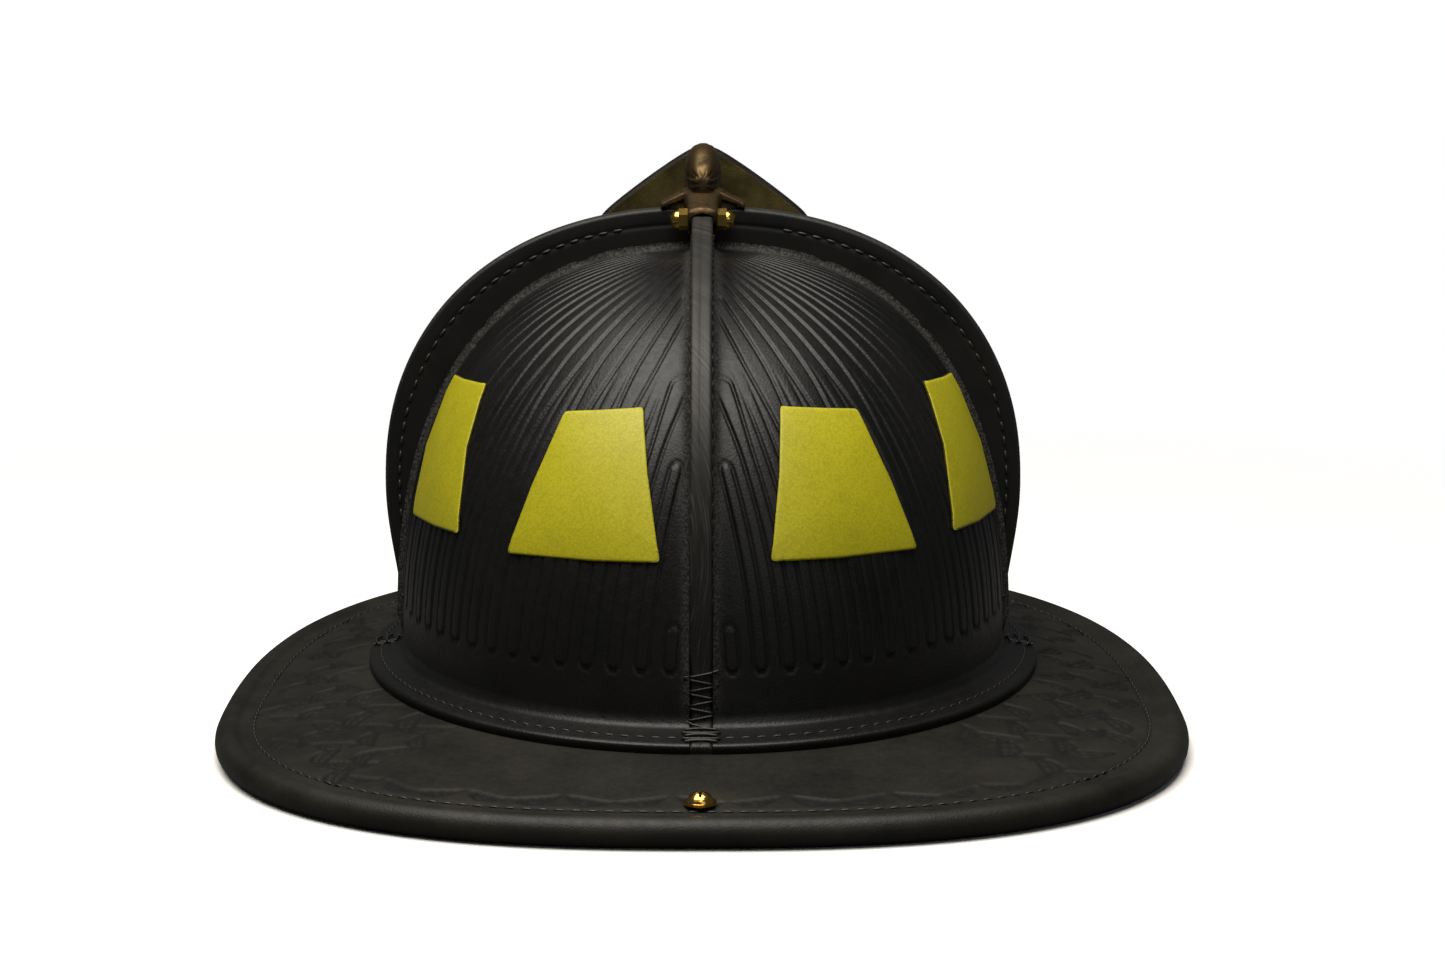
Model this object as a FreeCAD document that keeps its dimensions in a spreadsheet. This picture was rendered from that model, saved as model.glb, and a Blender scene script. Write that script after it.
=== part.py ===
"""Traditional leather fire helmet, as an assembly of separate pieces.

The frame stands on the table on its brim: +Z is up, the front faces -Y and the wearer's left is +X.
Every piece is drawn about the crown's centre line and then moved back by `crown_setback`, so that the
origin lies under the middle of the brim.  All lengths are millimetres, all angles degrees.
"""
import FreeCAD, Part
import math
import os

V = FreeCAD.Vector

SIZES = [
    # crown: four leather quarters, each with a turned-out flange sewn to the brim
    ("crown_length", 250.0, "outside of the crown wall, front to rear"),
    ("crown_width", 204.0, "outside of the crown wall, side to side"),
    ("crown_rise", 131.0, "from the foot of the wall to the top of the crown"),
    ("wall_foot", 23.0, "height of the foot of the wall above the table"),
    ("crown_exponent", 2.43, "squareness of the crown's upright section, 2 is an ellipse"),
    ("leather_wall", 4.0, "thickness of the crown leather"),
    ("flange_width", 14.0, "width of the flange"),
    ("flange_leather", 3.0, "thickness of the flange"),
    ("sewn_gap", 0.05, "gap between pieces that are sewn or clamped together"),
    # combs: the four raised seams between the quarters
    ("comb_width", 7.0, "thickness of a comb across its seam"),
    ("comb_crest", 14.0, "how far the combs' crest stands above the crown"),
    ("comb_bulge", 5.5, "how far a comb stands out of the wall at its widest"),
    ("comb_bulge_height", 74.0, "height where a comb is widest"),
    ("comb_exponent", 2.25, "squareness of the crest line"),
    # brim
    ("brim_side_overhang", 56.0, "side of the crown to the brim's side edge"),
    ("brim_rear_overhang", 70.0, "rear of the crown to the brim's rear edge"),
    ("brim_front_overhang", 55.0, "front of the crown to the brim's front edge"),
    ("brim_widest", 50.0, "distance behind the crown centre where the brim is widest"),
    ("brim_exponent", 2.5, "squareness of the brim's outline"),
    ("brim_leather", 3.5, "thickness of the brim leather"),
    ("brim_seat", 17.0, "height of the brim's top face under the wall"),
    ("brim_slope", 0.16, "fall of the brim next to the crown, per unit of length"),
    ("roll_radius", 4.75, "radius of the rolled edge"),
    ("wire_radius", 1.6, "radius of the brass wire in the rolled edge"),
    # reflective trim
    ("trim_leather", 0.9, "thickness of a reflective patch"),
    ("trim_gap", 0.12, "gap under a reflective patch"),
    ("trim_top", 116.0, "height of the patches' upper edge"),
    ("trim_bottom", 71.0, "height of the patches' lower edge"),
    # inner shell and impact cap
    ("liner_gap", 0.6, "gap between the crown, the inner shell and the impact cap"),
    ("shell_wall", 2.0, "thickness of the inner shell"),
    ("foam_wall", 15.0, "thickness of the impact cap"),
    ("foam_foot", 48.0, "height of the impact cap's lower edge"),
    # suspension
    ("strap_width", 25.0, "width of a crown strap"),
    ("strap_cloth", 0.8, "thickness of a crown strap"),
    ("strap_step", 0.4, "gap between one crown strap and the next"),
    ("band_end_room", 29.0, "front of the crown to the headband"),
    ("band_side_room", 24.0, "side of the crown to the headband"),
    ("band_foot", 16.0, "height of the headband's lower edge"),
    ("band_depth", 28.0, "height of the headband strip"),
    ("band_wall", 1.6, "thickness of the headband strip"),
    ("pad_wall", 3.0, "thickness of the brow pad"),
    # ratchet
    ("housing_width", 58.0, "ratchet housing, side to side"),
    ("housing_height", 26.0, "ratchet housing, bottom to top"),
    ("housing_wall", 1.2, "wall of the ratchet housing"),
    ("ratchet_height", 30.0, "height of the ratchet's axis"),
    ("ratchet_room", 37.0, "rear of the crown to the head side of the ratchet housing"),
    ("housing_depth", 6.5, "depth of the ratchet housing without its cover"),
    ("gear_module", 0.75, "module of the pinion and the racks"),
    ("pinion_teeth", 12.0, "number of teeth on the pinion"),
    ("tooth_share", 0.38, "share of the pitch taken by a tooth"),
    ("rack_wall", 2.4, "thickness of a rack"),
    ("rack_band", 4.6, "height of a rack behind its teeth"),
    ("rack_length", 54.0, "length of a rack"),
    ("shaft_radius", 2.5, "radius of the knob's shaft"),
    ("running_gap", 0.05, "radial clearance of a turning shaft"),
    ("knob_radius", 14.0, "radius of the knob"),
    ("knob_depth", 7.5, "thickness of the knob"),
    # front-piece holder
    ("holder_wall", 1.35, "thickness of the holder's cheeks"),
    ("holder_reach", 23.0, "length of the arm over the rear comb"),
    ("holder_front", 34.0, "length of the arm over the front comb"),
    ("holder_skirt", 14.0, "length of each arm over a side comb"),
    ("holder_cheek", 11.5, "depth of the cheeks beside a comb"),
    ("hump_rise", 20.0, "top of the combs to the top of the holder's hump"),
    ("hump_tip_gap", 0.9, "gap between the hump's tip and the back of the shield"),
    ("hump_width", 12.6, "width of the holder's hump"),
    ("holder_bolt_radius", 2.0, "radius of the cross bolt"),
    ("acorn_flats", 6.3, "acorn nut across its flats"),
    # front shield
    ("shield_height", 158.0, "height of the front shield"),
    ("shield_width", 118.0, "width of the front shield"),
    ("shield_wall", 4.0, "thickness of the front shield"),
    ("shield_bend", 110.0, "radius that the shield is curved to"),
    ("shield_foot", 27.0, "height of the shield's lower edge"),
    ("shield_stand_off", 16.5, "edge of the front flange to the back of the shield's lower edge"),
    ("shield_lean", 20.2, "backward lean of the shield from upright"),
    # rear screw and hang ring
    ("screw_inset", 17.0, "rear edge of the brim to the rear screw"),
    ("screw_radius", 2.0, "radius of the rear screw's shank"),
    ("screw_head_radius", 4.1, "radius of the rear screw's head"),
    ("screw_head_rise", 3.0, "height of the rear screw's head"),
    ("washer_radius", 5.0, "radius of the rear washer"),
    ("washer_wall", 0.8, "thickness of the rear washer"),
    ("tab_wall", 1.0, "thickness of the hang ring's tab"),
    ("tab_width", 14.0, "width of the hang ring's tab"),
    ("ring_wire", 1.3, "radius of the hang ring's wire"),
    ("ring_width", 24.0, "width of the hang ring between wire centres"),
    ("ring_length", 24.0, "length of the hang ring between wire centres"),
    ("ring_hang", 18.0, "rear screw to the hang ring's pivot"),
    ("ring_height", 4.6, "height of the hang ring's pivot"),
    # earlap and chinstrap
    ("earlap_cloth", 2.6, "thickness of the folded earlap"),
    ("webbing_width", 19.0, "width of the chinstrap webbing"),
    ("webbing_cloth", 1.5, "thickness of the chinstrap webbing"),
    ("rivet_radius", 2.2, "radius of a chinstrap rivet's shank"),
    ("crown_setback", -7.5, "moves the crown's centre so that the origin is under the brim's middle"),
]

doc = FreeCAD.newDocument("fire_helmet")
sheet = doc.addObject("Spreadsheet::Sheet", "Sizes")
for row, (alias, value, remark) in enumerate(SIZES, start=1):
    sheet.set("A%d" % row, alias)
    sheet.set("B%d" % row, str(value))
    sheet.set("C%d" % row, remark)
    sheet.setAlias("B%d" % row, alias)
doc.recompute()

SIZE = {alias: float(sheet.get(alias)) for alias, value, remark in SIZES}
SPAN = 400.0      # longer than any piece, for cutting tools
NODES = []


# ---------------------------------------------------------------- common tools

def finish_node(piece, label):
    """Names a sub-part and moves it from the crown's centre line to the helmet's frame."""
    piece.Label = label
    shift = FreeCAD.Placement(V(0, SIZE["crown_setback"], 0), FreeCAD.Rotation())
    piece.Placement = shift.multiply(piece.Placement)
    NODES.append(piece)
    return piece


def shape_node(shape, label):
    """A sub-part whose form neither a sketch nor a primitive can give."""
    piece = doc.addObject("Part::Feature", label + "_form")
    piece.Shape = shape
    return finish_node(piece, label)


def helper(shape, name):
    """A form that only serves as an operand."""
    piece = doc.addObject("Part::Feature", name)
    piece.Shape = shape
    return piece


def bind(piece, **expressions):
    for name, text in expressions.items():
        piece.setExpression(name, text)
    return piece


def cylinder(name, radius, height, base, direction):
    """Part::Cylinder with its radius and height bound to expressions."""
    piece = doc.addObject("Part::Cylinder", name)
    bind(piece, Radius=radius, Height=height)
    piece.Placement = FreeCAD.Placement(V(*base), FreeCAD.Rotation(V(0, 0, 1), V(*direction)))
    return piece


def box(name, length, width, height, corner):
    """Part::Box with its three sizes bound to expressions, its low corner at `corner`."""
    piece = doc.addObject("Part::Box", name)
    bind(piece, Length=length, Width=width, Height=height)
    piece.Placement = FreeCAD.Placement(V(*corner), FreeCAD.Rotation())
    return piece


def fuse(name, *pieces):
    joined = doc.addObject("Part::MultiFuse", name)
    joined.Shapes = list(pieces)
    return joined


def cut(name, base, tool):
    result = doc.addObject("Part::Cut", name)
    result.Base = base
    result.Tool = tool
    return result


def common(name, base, tool):
    result = doc.addObject("Part::Common", name)
    result.Base = base
    result.Tool = tool
    return result


def origin_plane(body, role):
    return next(item for item in body.Origin.OriginFeatures if item.Role == role)


def sketch_on(body, role, name, offset=0.0):
    """A sketch on one of the body's own origin planes, moved along its normal by `offset`."""
    sketch = body.newObject("Sketcher::SketchObject", name)
    sketch.AttachmentSupport = [(origin_plane(body, role), "")]
    sketch.MapMode = "FlatFace"
    sketch.AttachmentOffset = FreeCAD.Placement(V(0, 0, offset), FreeCAD.Rotation())
    return sketch


def draw_polygon(sketch, points):
    """A closed outline of straight lines."""
    ends = points[1:] + points[:1]
    for start, end in zip(points, ends):
        sketch.addGeometry(Part.LineSegment(V(*start, 0), V(*end, 0)), False)


def revolved_body(label, role, axis, outline):
    """A turned piece: a closed outline on a body's plane, swept about one of the sketch's axes."""
    body = doc.addObject("PartDesign::Body", label + "_body")
    sketch = sketch_on(body, role, label + "_outline")
    draw_polygon(sketch, outline)
    doc.recompute()
    turned = body.newObject("PartDesign::Revolution", label + "_turned")
    turned.Profile = sketch
    turned.ReferenceAxis = (sketch, [axis])
    turned.Angle = 360.0
    body.Tip = turned
    doc.recompute()
    return body


def spline(points, tangents=None):
    """A smooth curve through points; tangents are given at its two ends only."""
    curve = Part.BSplineCurve()
    if tangents:
        curve.interpolate(Points=points, InitialTangent=tangents[0], FinalTangent=tangents[1])
    else:
        curve.interpolate(Points=points)
    return curve.toShape()


def closed_spline(points):
    curve = Part.BSplineCurve()
    curve.interpolate(Points=points, PeriodicFlag=True)
    return Part.Wire(curve.toShape())


def power(value, exponent):
    """A signed power, as a superellipse needs."""
    return math.copysign(abs(value) ** exponent, value)


def one_solid(shape):
    """The only solid of a shape; a piece that fell apart is refused."""
    if len(shape.Solids) != 1:
        raise RuntimeError("a piece came out as %d solids" % len(shape.Solids))
    return shape.Solids[0]


# ---------------------------------------------------------------- crown

CROWN_R = SIZE["crown_length"] / 2
SQUEEZE = SIZE["crown_width"] / SIZE["crown_length"]
FOOT = SIZE["wall_foot"]
RISE = SIZE["crown_rise"]
EXPONENT = SIZE["crown_exponent"]
COMB_TOP = FOOT + RISE + SIZE["comb_crest"]
FLANGE_EDGE = CROWN_R + SIZE["flange_width"]
BRIM_HALF_WIDTH = SIZE["crown_width"] / 2 + SIZE["brim_side_overhang"]
BRIM_REAR = CROWN_R + SIZE["brim_rear_overhang"]
BRIM_FRONT = CROWN_R + SIZE["brim_front_overhang"]


def meridian(radius, rise, low, count=22):
    """Upright section of a dome from height `low` to its top, as a superellipse.

    radius * cos(t) ** (2/n) outwards and foot + rise * sin(t) ** (2/n) upwards.
    """
    reach = max(low - FOOT, 0.0) / rise
    start = math.asin(reach ** (EXPONENT / 2))
    points = []
    for step in range(count):
        angle = start + (math.pi / 2 - start) * step / (count - 1)
        out = radius * max(math.cos(angle), 0.0) ** (2 / EXPONENT)
        up = FOOT + rise * math.sin(angle) ** (2 / EXPONENT)
        points.append(V(out, 0, up))
    points[-1] = V(0, 0, FOOT + rise)
    return points


def meridian_edge(points):
    first = (points[1] - points[0]).normalize()
    return spline(points, (first, V(-1, 0, 0)))


def turned_dome(edges):
    """Turns a closed section about the centre line and squeezes it to the crown's width."""
    wire = Part.Wire(Part.__sortEdges__(edges))
    solid = Part.Face(wire).revolve(V(0, 0, 0), V(0, 0, 1), 360)
    squeeze = FreeCAD.Matrix()
    squeeze.scale(SQUEEZE, 1, 1)
    solid = solid.transformGeometry(squeeze)
    return solid if solid.ShapeType == "Solid" else Part.makeSolid(solid.Shells[0])


def dome_shell(outer, thickness, low):
    """A dome of even section: `outer` is how far its outside lies inside the crown's outside."""
    outside = meridian(CROWN_R - outer, RISE - outer, low)
    inside = meridian(CROWN_R - outer - thickness, RISE - outer - thickness, low)
    return turned_dome([
        meridian_edge(outside),
        Part.LineSegment(outside[-1], inside[-1]).toShape(),
        meridian_edge(inside),
        Part.LineSegment(inside[0], outside[0]).toShape(),
    ])


def brim_height(radius):
    """Height of the brim's top face next to the crown, at a distance along the helmet's length."""
    return SIZE["brim_seat"] - (radius - CROWN_R) * SIZE["brim_slope"]


def crown_form():
    """The whole crown: the wall, a bend at its foot and the flange that lies on the brim."""
    bend = SIZE["flange_leather"]
    wall = SIZE["leather_wall"]
    gap = SIZE["sewn_gap"]
    outside = meridian(CROWN_R, RISE, FOOT)
    inside = meridian(CROWN_R - wall, RISE - wall, FOOT)
    edge = FLANGE_EDGE
    bend_end = V(CROWN_R + bend, 0, brim_height(CROWN_R + bend) + gap + SIZE["flange_leather"])
    bend_drop = outside[0].z - bend_end.z
    bend_mid = V(CROWN_R + bend * 0.29, 0, bend_end.z + bend_drop * 0.29)
    corners = [
        bend_end,
        V(edge, 0, brim_height(edge) + gap + SIZE["flange_leather"]),
        V(edge, 0, brim_height(edge) + gap),
        V(CROWN_R - wall, 0, brim_height(CROWN_R - wall) + gap),
        inside[0],
    ]
    edges = [Part.LineSegment(a, b).toShape() for a, b in zip(corners, corners[1:])]
    edges.append(Part.Arc(outside[0], bend_mid, bend_end).toShape())
    edges.append(meridian_edge(outside))
    edges.append(meridian_edge(inside))
    edges.append(Part.LineSegment(outside[-1], inside[-1]).toShape())
    return turned_dome(edges)


def make_crown():
    """Cuts the crown into quarters that leave room for the combs."""
    form = helper(crown_form(), "crown_form")
    gap = SIZE["comb_width"] / 2 + SIZE["sewn_gap"]
    for side, x_sign in (("left", 1), ("right", -1)):
        for end, y_sign in (("rear", 1), ("front", -1)):
            corner = (gap if x_sign > 0 else -gap - SPAN, gap if y_sign > 0 else -gap - SPAN, 0)
            room = box("%s_%s_room" % (end, side), str(SPAN), str(SPAN), str(SPAN), corner)
            finish_node(common("crown_%s_%s_cut" % (end, side), form, room),
                        "crown_%s_%s" % (end, side))


def comb_outline(radius):
    """Outline of a comb along a centre plane: (distance from the centre line, height) pairs.

    Above its widest height the crest is a superellipse.  Below, it returns to the wall as
    radius + bulge * cos(u * 90 degrees) ** 2, where u runs from 0 to 1 down to the wall's foot.
    """
    bulge = SIZE["comb_bulge"]
    widest = SIZE["comb_bulge_height"]
    rise = COMB_TOP - widest
    crest = []
    for step in range(19):
        angle = math.pi / 2 * (1 - step / 18)
        out = (radius + bulge) * max(math.cos(angle), 0.0) ** (2 / SIZE["comb_exponent"])
        crest.append((out, widest + rise * math.sin(angle) ** (2 / SIZE["comb_exponent"])))
    for step in range(1, 9):
        share = step / 8
        out = radius + bulge * math.cos(share * math.pi / 2) ** 2
        crest.append((out, widest - (widest - FOOT) * share))
    return crest


def make_comb(label, role, radius, sign, start):
    """A comb: its outline on an upright centre plane, padded to the comb's width.

    The foot of the outline fills the gap between two flanges.
    """
    body = doc.addObject("PartDesign::Body", label + "_body")
    sketch = sketch_on(body, role, label + "_outline")
    share = radius / CROWN_R
    wall = SIZE["leather_wall"] * share
    gap = SIZE["sewn_gap"]
    bend = SIZE["flange_leather"]

    def place(out, up):
        return V(sign * out, up, 0)

    crest = [place(out, up) for out, up in comb_outline(radius) if out >= start]
    first_up = crest[0].y
    inside = [(p.x * share, p.z) for p in meridian(CROWN_R - SIZE["leather_wall"],
                                                   RISE - SIZE["leather_wall"], FOOT)]
    inside = [place(out, up) for out, up in inside if out >= start]
    top = place(start, first_up)
    if (crest[0] - top).Length > 1e-6:
        crest.insert(0, top)
    low_top = place(start, inside[-1].y)
    if (inside[-1] - low_top).Length > 1e-6:
        inside.append(low_top)
    edge = FLANGE_EDGE * share
    flange_low = brim_height(FLANGE_EDGE) + gap
    bend_up = brim_height(CROWN_R + bend) + gap + bend
    foot = [
        crest[-1],
        place((CROWN_R + bend) * share, bend_up),
        place(edge, flange_low + SIZE["flange_leather"]),
        place(edge, flange_low),
        place(radius - wall, brim_height(CROWN_R - SIZE["leather_wall"]) + gap),
        inside[0],
    ]
    for curve in (crest, inside):
        line = Part.BSplineCurve()
        line.interpolate(Points=curve)
        sketch.addGeometry(line, False)
    for a, b in zip(foot, foot[1:]):
        sketch.addGeometry(Part.LineSegment(a, b), False)
    sketch.addGeometry(Part.LineSegment(inside[-1], crest[0]), False)
    doc.recompute()
    pad = body.newObject("PartDesign::Pad", label + "_pad")
    pad.Profile = sketch
    pad.Midplane = True
    bind(pad, Length="Sizes.comb_width")
    body.Tip = pad
    doc.recompute()
    return body


def drill(body, label, role, centre, radius):
    """A hole right through a body, along the normal of one of its planes."""
    sketch = sketch_on(body, role, label + "_circle")
    sketch.addGeometry(Part.Circle(V(*centre, 0), V(0, 0, 1), radius), False)
    doc.recompute()
    before = body.Shape.Volume
    hole = body.newObject("PartDesign::Pocket", label + "_hole")
    hole.Profile = sketch
    hole.Type = "ThroughAll"
    hole.Midplane = True
    body.Tip = hole
    doc.recompute()
    if body.Shape.Volume >= before:
        raise RuntimeError("the hole missed " + label)


BOLT_Y = 9.0                                     # crown centre to the holder's cross bolt
BOLT_Z = COMB_TOP - 3.5                          # height of the holder's cross bolt


def make_combs():
    side_start = SIZE["comb_width"] / 2 + SIZE["sewn_gap"]
    side_radius = CROWN_R * SQUEEZE
    rear = make_comb("comb_rear", "YZ_Plane", CROWN_R, 1, SIZE["sewn_gap"])
    drill(rear, "comb_rear", "YZ_Plane", (BOLT_Y, BOLT_Z),
          SIZE["holder_bolt_radius"] + SIZE["running_gap"])
    finish_node(rear, "comb_rear")
    finish_node(make_comb("comb_front", "YZ_Plane", CROWN_R, -1, SIZE["sewn_gap"]), "comb_front")
    finish_node(make_comb("comb_left", "XZ_Plane", side_radius, 1, side_start), "comb_left")
    finish_node(make_comb("comb_right", "XZ_Plane", side_radius, -1, side_start), "comb_right")


# ---------------------------------------------------------------- brim

BRIM_STEPS = 72


def brim_outline(inset=0.0):
    """The brim's edge, moved inwards by `inset`, as points on the table plane.

    Two half superellipses that share the brim's widest line, one to the rear and one to the front.
    """
    centre = SIZE["brim_widest"]
    shape = 2 / SIZE["brim_exponent"]
    points = []
    for step in range(BRIM_STEPS):
        angle = 2 * math.pi * (step + 0.5) / BRIM_STEPS
        reach = BRIM_REAR - centre if math.sin(angle) > 0 else BRIM_FRONT + centre
        points.append(V(BRIM_HALF_WIDTH * power(math.cos(angle), shape),
                        centre + reach * power(math.sin(angle), shape), 0))
    if inset:
        moved = []
        for step, point in enumerate(points):
            along = points[(step + 1) % BRIM_STEPS] - points[step - 1]
            moved.append(point + V(-along.y, along.x, 0).normalize() * inset)
        points = moved
    return points


def brim_ring(radius, height):
    """An ellipse of the crown's proportions, whose points line up with the outline's."""
    points = []
    for point in brim_outline():
        angle = math.atan2(point.y / CROWN_R, point.x / (CROWN_R * SQUEEZE))
        points.append(V(radius * SQUEEZE * math.cos(angle), radius * math.sin(angle), height))
    return closed_spline(points)


ROLL_MEET = 135.0       # bearing round the roll where the brim leather's top face runs into it
ROLL_STEP = 15.0        # turn between two lines along the roll


def roll_place(bearing):
    """How far a line on the roll lies in from the brim's edge, and its height above the table.

    The bearing is 0 on the outside and 90 on top of the roll.
    """
    turn = math.radians(bearing)
    return SIZE["roll_radius"] * (1 - math.cos(turn)), SIZE["roll_radius"] * (1 + math.sin(turn))


def brim_surface(reach, edge):
    """Height of the brim's top face on the centre line, beyond the flange; `edge` is its edge there."""
    inset, roll_top = roll_place(ROLL_MEET)
    start = brim_height(FLANGE_EDGE)
    share = (reach - FLANGE_EDGE) / (edge - inset - FLANGE_EDGE)
    return start + (roll_top - start) * share


def edge_tube(radius):
    """A round tube along the middle of the rolled edge."""
    points = [point + V(0, 0, SIZE["roll_radius"]) for point in brim_outline(SIZE["roll_radius"])]
    path = closed_spline(points)
    start = path.Edges[0].valueAt(path.Edges[0].FirstParameter)
    along = path.Edges[0].tangentAt(path.Edges[0].FirstParameter)
    ring = Part.Wire(Part.makeCircle(radius, start, along))
    return path.makePipeShell([ring], True, True)


def roll_line(bearing):
    """A closed line along the roll."""
    inset, height = roll_place(bearing)
    return closed_spline([point + V(0, 0, height) for point in brim_outline(inset)])


SCREW_PLACE = BRIM_REAR - SIZE["screw_inset"]


def make_brim():
    """One loft right round the brim's section: top face, rolled edge, under face and mouth."""
    mouth = CROWN_R - SIZE["leather_wall"]
    top = [brim_ring(radius, brim_height(radius)) for radius in (mouth, FLANGE_EDGE)]
    steps = int(round((180.0 + ROLL_MEET) / ROLL_STEP))
    roll = [roll_line(ROLL_MEET - ROLL_STEP * step) for step in range(steps + 1)]
    bottom = [wire.translated(V(0, 0, -SIZE["brim_leather"])) for wire in reversed(top)]
    brim = Part.makeLoft(top + roll + bottom + top[:1], True, True)
    brim = brim.cut(edge_tube(SIZE["wire_radius"] + SIZE["sewn_gap"]))
    screw_room = Part.makeCylinder(SIZE["screw_radius"] + SIZE["running_gap"], SPAN,
                                   V(0, SCREW_PLACE, 0))
    brim = brim.cut(screw_room)
    shape_node(one_solid(brim), "brim")
    shape_node(edge_tube(SIZE["wire_radius"]), "brim_wire")


# ---------------------------------------------------------------- reflective trim

# name, side, then the angles from the rear (or front) centre line of the patch's upper corners
# and of its lower corners
TRIM = [
    ("rear_inner", 1, 1, (12.8, 31.0), (7.3, 38.2)),
    ("rear_outer", 1, 1, (59.0, 82.5), (52.1, 75.2)),
    ("rear_inner", -1, 1, (17.5, 36.0), (12.5, 43.5)),
    ("rear_outer", -1, 1, (62.0, 85.0), (54.7, 81.0)),
    ("front_inner", 1, -1, (14.0, 33.0), (9.0, 40.0)),
    ("front_outer", 1, -1, (60.0, 83.0), (53.0, 78.0)),
    ("front_inner", -1, -1, (14.0, 33.0), (9.0, 40.0)),
    ("front_outer", -1, -1, (60.0, 83.0), (53.0, 78.0)),
]


def wall_point(bearing, height):
    """A point on the crown's outside, by its bearing from the rear and its height."""
    up = (height - FOOT) / RISE
    out = CROWN_R * (1 - up ** EXPONENT) ** (1 / EXPONENT)
    turn = math.radians(bearing)
    return V(SQUEEZE * out * math.sin(turn), out * math.cos(turn), height)


def make_trim():
    """Each patch is a piece of a thin dome, cut out by a prism through its four corners."""
    skin = dome_shell(-SIZE["trim_gap"] - SIZE["trim_leather"], SIZE["trim_leather"], FOOT)
    skin_form = helper(skin, "reflective_skin")
    for name, x_sign, y_sign, upper, lower in TRIM:
        label = "reflective_%s_%s" % (name, "left" if x_sign > 0 else "right")
        corners = [wall_point(upper[0], SIZE["trim_top"]), wall_point(upper[1], SIZE["trim_top"] - 3),
                   wall_point(lower[1], SIZE["trim_bottom"] - 2), wall_point(lower[0], SIZE["trim_bottom"])]
        corners = [V(x_sign * p.x, y_sign * p.y, p.z) for p in corners]
        middle = (corners[0] + corners[1] + corners[2] + corners[3]) * 0.25
        outward = (corners[2] - corners[0]).cross(corners[3] - corners[1]).normalize()
        if outward.dot(V(middle.x, middle.y, 0)) < 0:
            outward = outward * -1
        flat = [p - outward * (p - middle).dot(outward) for p in corners]
        face = Part.Face(Part.makePolygon(flat + flat[:1]))
        face.translate(outward * -25)
        prism = helper(face.extrude(outward * 60), label + "_prism")
        finish_node(common(label + "_cut", skin_form, prism), label)


# ---------------------------------------------------------------- inner shell, impact cap, straps

SHELL_OUT = SIZE["leather_wall"] + SIZE["liner_gap"]
SHELL_IN = SHELL_OUT + SIZE["shell_wall"]
FOAM_OUT = SHELL_IN + SIZE["liner_gap"]
FOAM_IN = FOAM_OUT + SIZE["foam_wall"]
RIVET_Z = FOOT + 9.0                             # height of the chinstrap rivets


def make_inner_shell():
    form = dome_shell(SHELL_OUT, SIZE["shell_wall"], FOOT)
    room = cylinder("rivet_room", "Sizes.rivet_radius + Sizes.running_gap", str(2 * SPAN),
                    (-SPAN, 0, RIVET_Z), (1, 0, 0))
    finish_node(cut("inner_shell_cut", helper(form, "inner_shell_form"), room), "inner_shell")


def make_impact_cap():
    shape_node(dome_shell(FOAM_OUT, SIZE["foam_wall"], SIZE["foam_foot"]), "foam_impact_cap")


STRAP_TURNS = (40.0, 90.0, -40.0)                # bearings of the three crown straps
STRAP_FOOT = SIZE["band_foot"] + 13.0


def strap_depth(index):
    return FOAM_IN + SIZE["liner_gap"] + index * (SIZE["strap_cloth"] + SIZE["strap_step"])


def make_crown_straps():
    """Three webbing straps that cross under the impact cap, each one inside the last."""
    for index, turn in enumerate(STRAP_TURNS):
        label = "crown_strap_%d" % (index + 1)
        form = helper(dome_shell(strap_depth(index), SIZE["strap_cloth"], STRAP_FOOT), label + "_dome")
        strip = box(label + "_strip", "Sizes.strap_width", str(SPAN), str(SPAN), (0, 0, 0))
        spin = FreeCAD.Rotation(V(0, 0, 1), turn)
        low = V(-SIZE["strap_width"] / 2, -SPAN / 2, 0)
        strip.Placement = FreeCAD.Placement(spin.multVec(low), spin)
        finish_node(common(label + "_cut", form, strip), label)


BAND_HALF_WIDTH = SIZE["crown_width"] / 2 - SIZE["band_side_room"]
BAND_HALF_LENGTH = CROWN_R - SIZE["band_end_room"]


def ellipse_ring(outer, thickness, low, high):
    """An upright band that follows the headband's ellipse, `outer` outside the headband's face."""
    half_x = BAND_HALF_WIDTH + outer
    half_y = BAND_HALF_LENGTH + outer
    solids = []
    for inset in (0.0, thickness):
        curve = Part.Ellipse(V(0, half_y - inset, low), V(half_x - inset, 0, low), V(0, 0, low))
        solids.append(Part.Face(Part.Wire(curve.toShape())).extrude(V(0, 0, high - low)))
    return solids[0].cut(solids[1])


def sector(half_angle, front):
    """A wedge about the centre line, towards the front or the rear, for trimming bands."""
    reach = SPAN
    turn = math.radians(half_angle)
    sign = -1 if front else 1
    points = [V(0, 0, 0), V(reach * math.sin(turn), sign * reach * math.cos(turn), 0),
              V(0, sign * 2 * reach, 0), V(-reach * math.sin(turn), sign * reach * math.cos(turn), 0)]
    return Part.Face(Part.makePolygon(points + points[:1])).extrude(V(0, 0, SPAN))


BAND_TOP = SIZE["band_foot"] + SIZE["band_depth"]


def make_headband():
    """The headband runs round the front and the sides; the racks carry on from its rear ends."""
    ring = ellipse_ring(0.0, SIZE["band_wall"], SIZE["band_foot"], BAND_TOP)
    gap = Part.makeBox(SIZE["housing_width"] + 12, SPAN, SPAN, V(-SIZE["housing_width"] / 2 - 6, 0, 0))
    shape_node(one_solid(ring.cut(gap)), "headband")


def make_brow_pad():
    gap = SIZE["liner_gap"] / 2
    ring = ellipse_ring(-SIZE["band_wall"] - gap, SIZE["pad_wall"], SIZE["band_foot"] - 1, BAND_TOP - 3)
    shape_node(one_solid(ring.common(sector(72.0, True))), "brow_pad")


KEY_TALL = 9.0                                   # height and width of a strap key


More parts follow.
